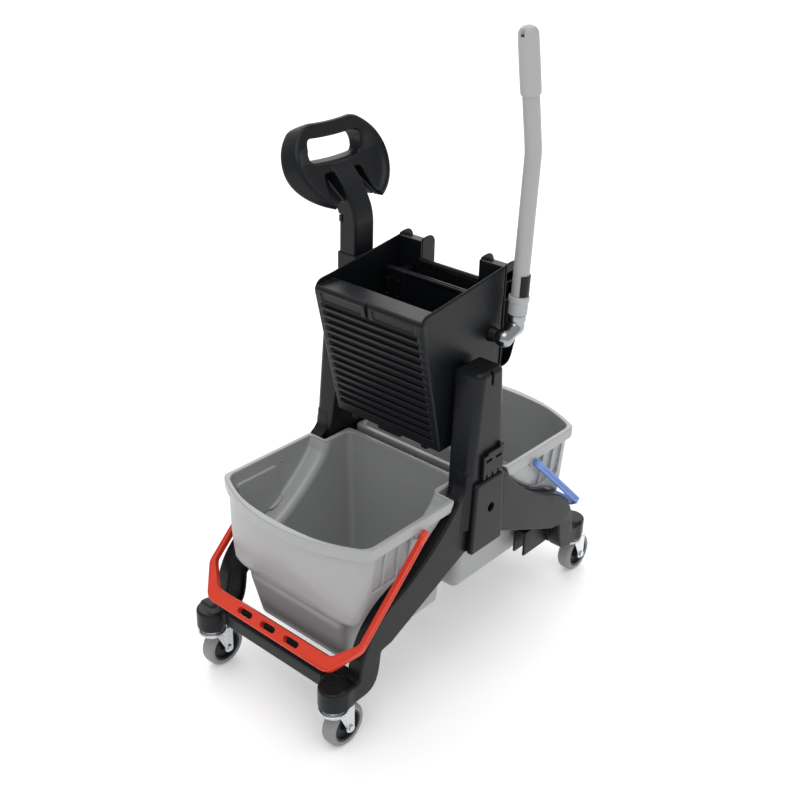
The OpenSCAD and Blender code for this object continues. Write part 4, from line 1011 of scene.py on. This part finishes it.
housing_outline = outline(
    [
        (housing_low[0], housing_low[2], 0),
        (housing_low[0], housing_top - 2, 2),
        (housing_low[0] + 12, housing_top, 12),
        (housing_high[0] - 4, housing_top, 15),
        (housing_high[0] - 3, gear_z + 40, 20),
        (housing_high[0] + 6, gear_z - 26, 36),
        (housing_high[0] - 10, housing_low[2], 22),
    ]
)


def gear_housing(x, y, z):
    out = -y
    edge = housing_outline(x, z)
    shell = cut(edge, slab(out, -housing_high[1], -housing_low[1]), 1.5)
    under_trough = z - housing_top + trough_t + housing_wall
    trough = cut(housing_top - trough_t - z, slab(out, 3.2 - housing_high[1], -3.2 - housing_low[1]), 2)
    room = cut(edge + housing_wall, slab(x, 0, housing_high[0] - 4), 1)
    room = cut(cut(room, slab(out, housing_wall - housing_high[1], 99), 1), under_trough, 1)
    recess = cut(cut(edge + 3.2, 101.5 - out, 1.5), under_trough, 2)
    rise = z - rib_first
    level = np.abs(rise - rib_gap * np.round(rise / rib_gap)) - rib_half
    arc = np.abs(np.hypot(x - gear_x - 24, z - gear_z) - 34) - 1.6
    recess = cut(cut(recess, -cut(level, gear_z + 30 - z, 1), 0.6), -cut(arc, z - gear_z + 10, 1), 0.6)
    rack_way = block(x, out, z, rack_way_low, rack_way_high, 1)
    shell = cut(cut(shell, -trough, 1), -room, 0.6)
    return cut(cut(shell, -recess, 0.8), -rack_way, 0.5)


wall_skin = mould(rear_wall, back_wall_low - 4, back_wall_high + 4, 1.5, 0.3)
housing_skin = mould(gear_housing, housing_low, housing_high + 6, 1.2, 0.3)
black_moulding("hopper_rear_wall", wall_skin, "wringer", ["wringer_back"])
for side, turn in both_hands:
    black_moulding("gear_housing_" + side, housing_skin, "wringer", ["gear_cover_" + side], turn)


# Press and its drive. A plate is pushed through the hopper by two racks and toothed sectors on the
# lever's cross shaft, which turns in two bushes. Screws hold the racks to the plate.
black_acetal = moulded_plastic("black_acetal_moulded", "#161719", "#121315", 0.35, 1.0, 0.02, 0.35)
ground_steel = bright_zinc("ground_steel", "#b4b7ba", 0.3)
plate_low, plate_high = box_mm("press_plate")
screw_z, screw_out, screw_up, pad_in, pad_t = post_base + 559, 13, 15, 60, 5
shaft_r, shaft_low, shaft_high, bush_r = 8, -123, 148, 11.9


def press_plate(x, y, z):
    side = np.abs(y)
    face, top = plate_low[0], plate_high[2]
    sheet = block(x, y, z, (face + 2.5, plate_low[1], plate_low[2]), (face + 6, plate_high[1], top), 1)
    pad = block(x, side, z, (face, pad_in, screw_z - 34), (face + pad_t, plate_high[1], top), 2)
    flange = block(x, y, z, (face + 1, plate_low[1], top - 6), plate_high, 2.2)
    groove = cut(slab(x, face + 4, plate_high[0] - 6), top - 5 - z, 1.5)
    plate = cut(join(join(sheet, pad, 1.5), flange, 1.5), -groove, 0.8)
    hole = np.hypot(np.abs(side - rack_y) - screw_out, np.abs(z - screw_z) - screw_up) - 4
    return cut(plate, -cut(hole, x - face - pad_t, 0.3), 0.6)


def screw(x, y, z):
    spread = np.hypot(np.abs(np.abs(y) - rack_y) - screw_out, np.abs(z - screw_z) - screw_up)
    seat = plate_low[0] + pad_t + 0.2
    head = cut(spread - 3.9, slab(x, seat, plate_low[0] + 7), 0.5)
    return np.minimum(head, cut(spread - 2.5, slab(x, seat, screw_high[0]), 0.4))


screw_low, screw_high = box_mm("rack_screws")
screw_skin = mould(screw, screw_low, screw_high, 0.7, 0.4)
plate_skin = mould(press_plate, plate_low, plate_high, 1.5, 0.3)
black_moulding("squeeze_plate", plate_skin, "press", ["press_plate"])
piece("plate_screws", screw_skin, zinc_plate, "press", ["rack_screws"])
shaft_skin = turned(
    [(0.3, shaft_low, 0), (shaft_r, shaft_low, 1), (shaft_r, shaft_high, 1), (0.3, shaft_high, 0)], 48
)
shaft_place = Matrix.Translation((gear_x, 0, gear_z)) @ quarter_turn
piece("lever_shaft", shaft_skin, ground_steel, "lever", ["drive_shaft"], shaft_place)
bush_place = {"right": mirror_y @ shaft_place, "left": shaft_place}
for side, boss_y in (("right", 132), ("left", 122)):
    bush_profile = [
        (shaft_r + 0.2, -hopper_half + hopper_wall, 0.3),
        (bush_r, -hopper_half + hopper_wall, 0.3),
        (bush_r, -hopper_half - 0.2, 0),
        (bush_r + 2.1, -hopper_half - 0.2, 0.6),
        (bush_r - 0.4, -boss_y, 2),
        (shaft_r + 0.2, -boss_y, 0.3),
    ]
    bush_skin, bush_node = turned(bush_profile, 56), "shaft_bush_" + side
    name = "shaft_bearing_" + side
    piece(name, bush_skin, black_acetal, "wringer", [bush_node], bush_place[side])
for side in ("right", "left"):
    softened("rack_" + side, "plate_rack_" + side, 0.5, black_polypropylene, "press")
    softened("drive_sector_" + side, "toothed_sector_" + side, 0.5, ground_steel, "lever")


# Lever. A cast elbow is pinned on the end of the cross shaft. A collar, a bent coated tube with a
# clip at its foot, and a moulded grip with a hanging slot stand on it.
cast_zinc = bright_zinc("cast_zinc_polished", "#9ea1a4", 0.2)
grey_coating = moulded_plastic("grey_coating_on_steel_tube", "#a9aaab", "#a3a4a5", 0.38, 2.0, 0.03)
grey_grip = moulded_plastic("grey_grip_moulded", "#aeafb0", "#a6a7a8", 0.45, 1.2, 0.05)

lever_y = -145
elbow_x, elbow_z = 34, 27
tube_tilt, tube_bend = math.radians(2.2), math.radians(13.5)
tube_r, tube_lower, tube_upper, grip_r, hand_l = 14, 284, 96, 18.5, 108
knuckle_r, arm_r, arm_flat, knee_rise = 15.2, 14.2, 13.3, 16
at_elbow = Matrix.Translation((gear_x + elbow_x, lever_y, gear_z + elbow_z))
on_tube = at_elbow @ Matrix.Rotation(tube_tilt, 4, "Y")
past_bend = on_tube @ Matrix.Translation((0, 0, tube_lower)) @ Matrix.Rotation(-tube_bend, 4, "Y")
elbow_low, elbow_high = box_mm("lever_elbow")


def lever_elbow(x, y, z):
    a, b, c = x - gear_x, y - lever_y, z - gear_z
    knuckle = np.sqrt(a * a + (0.95 * b) ** 2 + c * c) - knuckle_r
    neck = cut(np.hypot(a, c) - 11, slab(b, 0, 12.8), 1)
    knee_x, knee_z = elbow_x - 2, elbow_z - knee_rise
    arm_l = math.hypot(knee_x, knee_z)
    t = np.clip((a * knee_x + c * knee_z) / arm_l**2, 0, 1)
    arm = np.sqrt((a - t * knee_x) ** 2 + b * b + (c - t * knee_z) ** 2) - arm_r
    rise = (a * knee_z - c * knee_x) / arm_l
    for turn_a in range(0, 360, 60):
        facet = rise * math.cos(math.radians(turn_a)) + b * math.sin(math.radians(turn_a)) - arm_flat
        arm = cut(arm, facet, 0.8)
    t = np.clip((c - knee_z) / knee_rise, 0, 1)
    leg = np.sqrt((a - knee_x - 2 * t) ** 2 + b * b + (c - knee_z - knee_rise * t) ** 2) - arm_r
    arm = join(arm, leg, 3)
    p, r = a - elbow_x, c - elbow_z
    up = p * math.sin(tube_tilt) + r * math.cos(tube_tilt)
    off = np.hypot(p * math.cos(tube_tilt) - r * math.sin(tube_tilt), b)
    socket = cut(off - tube_r - 0.6, slab(up, -3, 8), 1.2)
    spigot = cut(off - tube_r + 1.8, slab(up, 0, 45), 1)
    return join(join(join(knuckle, neck, 4), arm, 5), join(socket, spigot, 0.5), 4)


elbow_skin = mould(lever_elbow, elbow_low - 2, elbow_high + 2, 1.0, 0.4)
piece("elbow_casting", elbow_skin, cast_zinc, "lever", ["lever_elbow"])
softened("lever_pin", "elbow_pin", 0.4, ground_steel, "lever")

collar_profile = [
    (tube_r + 0.1, 8.2, 0.3),
    (tube_r + 2.5, 8.2, 1),
    (tube_r + 2.5, 29, 2),
    (tube_r + 4, 31, 1.5),
    (tube_r + 4, 41, 2.5),
    (tube_r + 0.1, 41, 0.6),
]
collar_skin = turned(collar_profile, 64)
piece("tube_collar", collar_skin, grey_grip, "lever", ["lever_sleeve"], on_tube)
clip_turn, clip_foot, clip_top = math.radians(-49), 42.2, 78


def tube_clip(x, y, z):
    radius = np.hypot(x, y)
    ring = cut(cut(radius - tube_r - 2.4, tube_r + 0.15 - radius, 0.4), slab(z, clip_foot, clip_top), 0.8)
    return cut(ring, -1.5 - x * math.cos(clip_turn) - y * math.sin(clip_turn), 0.6)


tube_clip_skin = mould(tube_clip, (-17, -17, 42), (17, 17, clip_top), 0.8, 0.4)
black_moulding("tube_foot_clip", tube_clip_skin, "lever", ["tube_clip"], on_tube)

tube_bend_r = 90
bend_reach = tube_bend_r * math.tan(tube_bend / 2)
bend_foot = tube_lower - bend_reach
tube_path = [(0, 12), (0, 80), (0, 160), (0, bend_foot)]
for i in range(1, 13):
    a = tube_bend * i / 12
    tube_path.append((-tube_bend_r * (1 - math.cos(a)), bend_foot + tube_bend_r * math.sin(a)))
for run in (tube_upper * 0.5, tube_upper, tube_upper + hand_l - 14):
    tube_path.append((-run * math.sin(tube_bend), tube_lower + run * math.cos(tube_bend)))


def swept_tube(path, outer, inner, steps=48):
    """Skin of a hollow tube along a path of (x, z) places, closed at its ends."""
    path = np.array(path)
    way = np.gradient(path, axis=0)
    way /= np.linalg.norm(way, axis=1)[:, None]
    angles = np.arange(steps) * 2 * math.pi / steps
    points, normals = [], []
    walls = [(i, outer, 1) for i in range(len(path))]
    walls += [(i, inner, -1) for i in range(len(path) - 1, -1, -1)]
    for i, r, sign in walls:
        side = np.array((way[i][1], 0, -way[i][0]))
        for a in angles:
            spoke = math.cos(a) * side + math.sin(a) * np.array((0, 1, 0))
            points.append(np.array((path[i][0], 0, path[i][1])) + r * spoke)
            normals.append(sign * spoke)
    faces = []
    for i in range(len(walls)):
        a, b = i * steps, ((i + 1) % len(walls)) * steps
        faces += [(a + k, a + (k + 1) % steps, b + (k + 1) % steps, b + k) for k in range(steps)]
    return np.array(points), faces, np.array(normals)


tube_skin = swept_tube(tube_path, tube_r, tube_r - 1.5)
piece("bent_tube", tube_skin, grey_coating, "lever", ["lever_tube"], on_tube)


def lever_grip(x, y, z):
    radius = np.hypot(x, y)
    swell = np.clip(z / 8, 0, 1) * 1.2 - np.clip((z - 40) / 68, 0, 1) * 1.6
    barrel = cut(radius - grip_r + 1.2 - swell, slab(z, 0, hand_l), 1.5)
    dome = np.sqrt(radius**2 + np.maximum(z - hand_l + 17, 0) ** 2) - 17.2
    grip = cut(barrel, dome, 3)
    bore = cut(radius - tube_r - 0.1, z - hand_l + 13, 1)
    slot = block(x, y, z, (-30, -3.2, hand_l - 14), (-10.5, 3.2, hand_l - 4), 0.8)
    return cut(cut(grip, -bore, 0.5), -slot, 0.6)


on_grip = past_bend @ Matrix.Translation((0, 0, tube_upper))
grip_skin = mould(lever_grip, (-20, -20, 0), (20, 20, hand_l), 1.1, 0.35)
piece("lever_hand_grip", grip_skin, grey_grip, "lever", ["lever_grip"], on_grip)


# Floor, light and camera. A plain pale floor in an even white studio, with one broad soft light from
# above and one from behind, and a camera at the angle from which the trolley was photographed.
floor_mesh = bpy.data.meshes.new("floor")
floor_half = 12
floor_corners = [(x * floor_half, y * floor_half, 0) for x, y in ((-1, -1), (1, -1), (1, 1), (-1, 1))]
floor_mesh.from_pydata(floor_corners, [], [(0, 1, 2, 3)])
floor = bpy.data.objects.new("floor", floor_mesh)
bpy.context.scene.collection.objects.link(floor)
floor_paint = blank_material("floor_matt_paint")
floor_surface = add_node(
    floor_paint,
    "ShaderNodeBsdfPrincipled",
    {
        "Base Color": linear("#f9f9f9"),
        "Roughness": 0.9,
        "Specular IOR Level": 0.1,
        "Emission Color": linear("#ffffff"),
        "Emission Strength": 0.2,
    },
)
add_node(floor_paint, "ShaderNodeOutputMaterial", {"Surface": floor_surface.outputs["BSDF"]})
floor_mesh.materials.append(floor_paint)

world = bpy.data.worlds.new("studio")
bpy.context.scene.world = world
world.use_nodes = True
studio_glow = world.node_tree.nodes["Background"].inputs
studio_glow["Color"].default_value = (1, 1, 1, 1)
studio_glow["Strength"].default_value = 0.58
bpy.context.scene.view_settings.view_transform = "Standard"

soft_lights = {
    "overhead_soft_light": (1.1, 50, (0.25, 0.2, -0.94)),
    "back_soft_light": (1.2, 60, (-0.55, -0.5, -0.67)),
}
for name, (strength, spread, way) in soft_lights.items():
    lamp = bpy.data.lights.new(name, "SUN")
    lamp.energy = strength
    lamp.angle = math.radians(spread)
    lit = bpy.data.objects.new(name, lamp)
    lit.rotation_euler = Vector(way).to_track_quat("-Z", "Y").to_euler()
    bpy.context.scene.collection.objects.link(lit)

view_yaw, view_pitch, view_roll = 0.716, 0.464, 0.023
level = math.cos(view_pitch)
ahead = Vector((level * math.cos(view_yaw), level * math.sin(view_yaw), -math.sin(view_pitch)))
right = Vector((math.sin(view_yaw), -math.cos(view_yaw), 0))
up = right.cross(ahead)
rolled_right = right * math.cos(view_roll) + up * math.sin(view_roll)
rolled_up = up * math.cos(view_roll) - right * math.sin(view_roll)
camera = bpy.data.cameras.new("camera")
camera.sensor_width = 36
camera.lens = 52.4
camera.shift_x, camera.shift_y = 0.01375, -0.018
eye = bpy.data.objects.new("camera", camera)
camera_place = Matrix.Translation((-1.4034, -1.1762, 1.4154))
eye.matrix_world = camera_place @ Matrix((rolled_right, rolled_up, -ahead)).transposed().to_4x4()
bpy.context.scene.collection.objects.link(eye)
bpy.context.scene.camera = eye
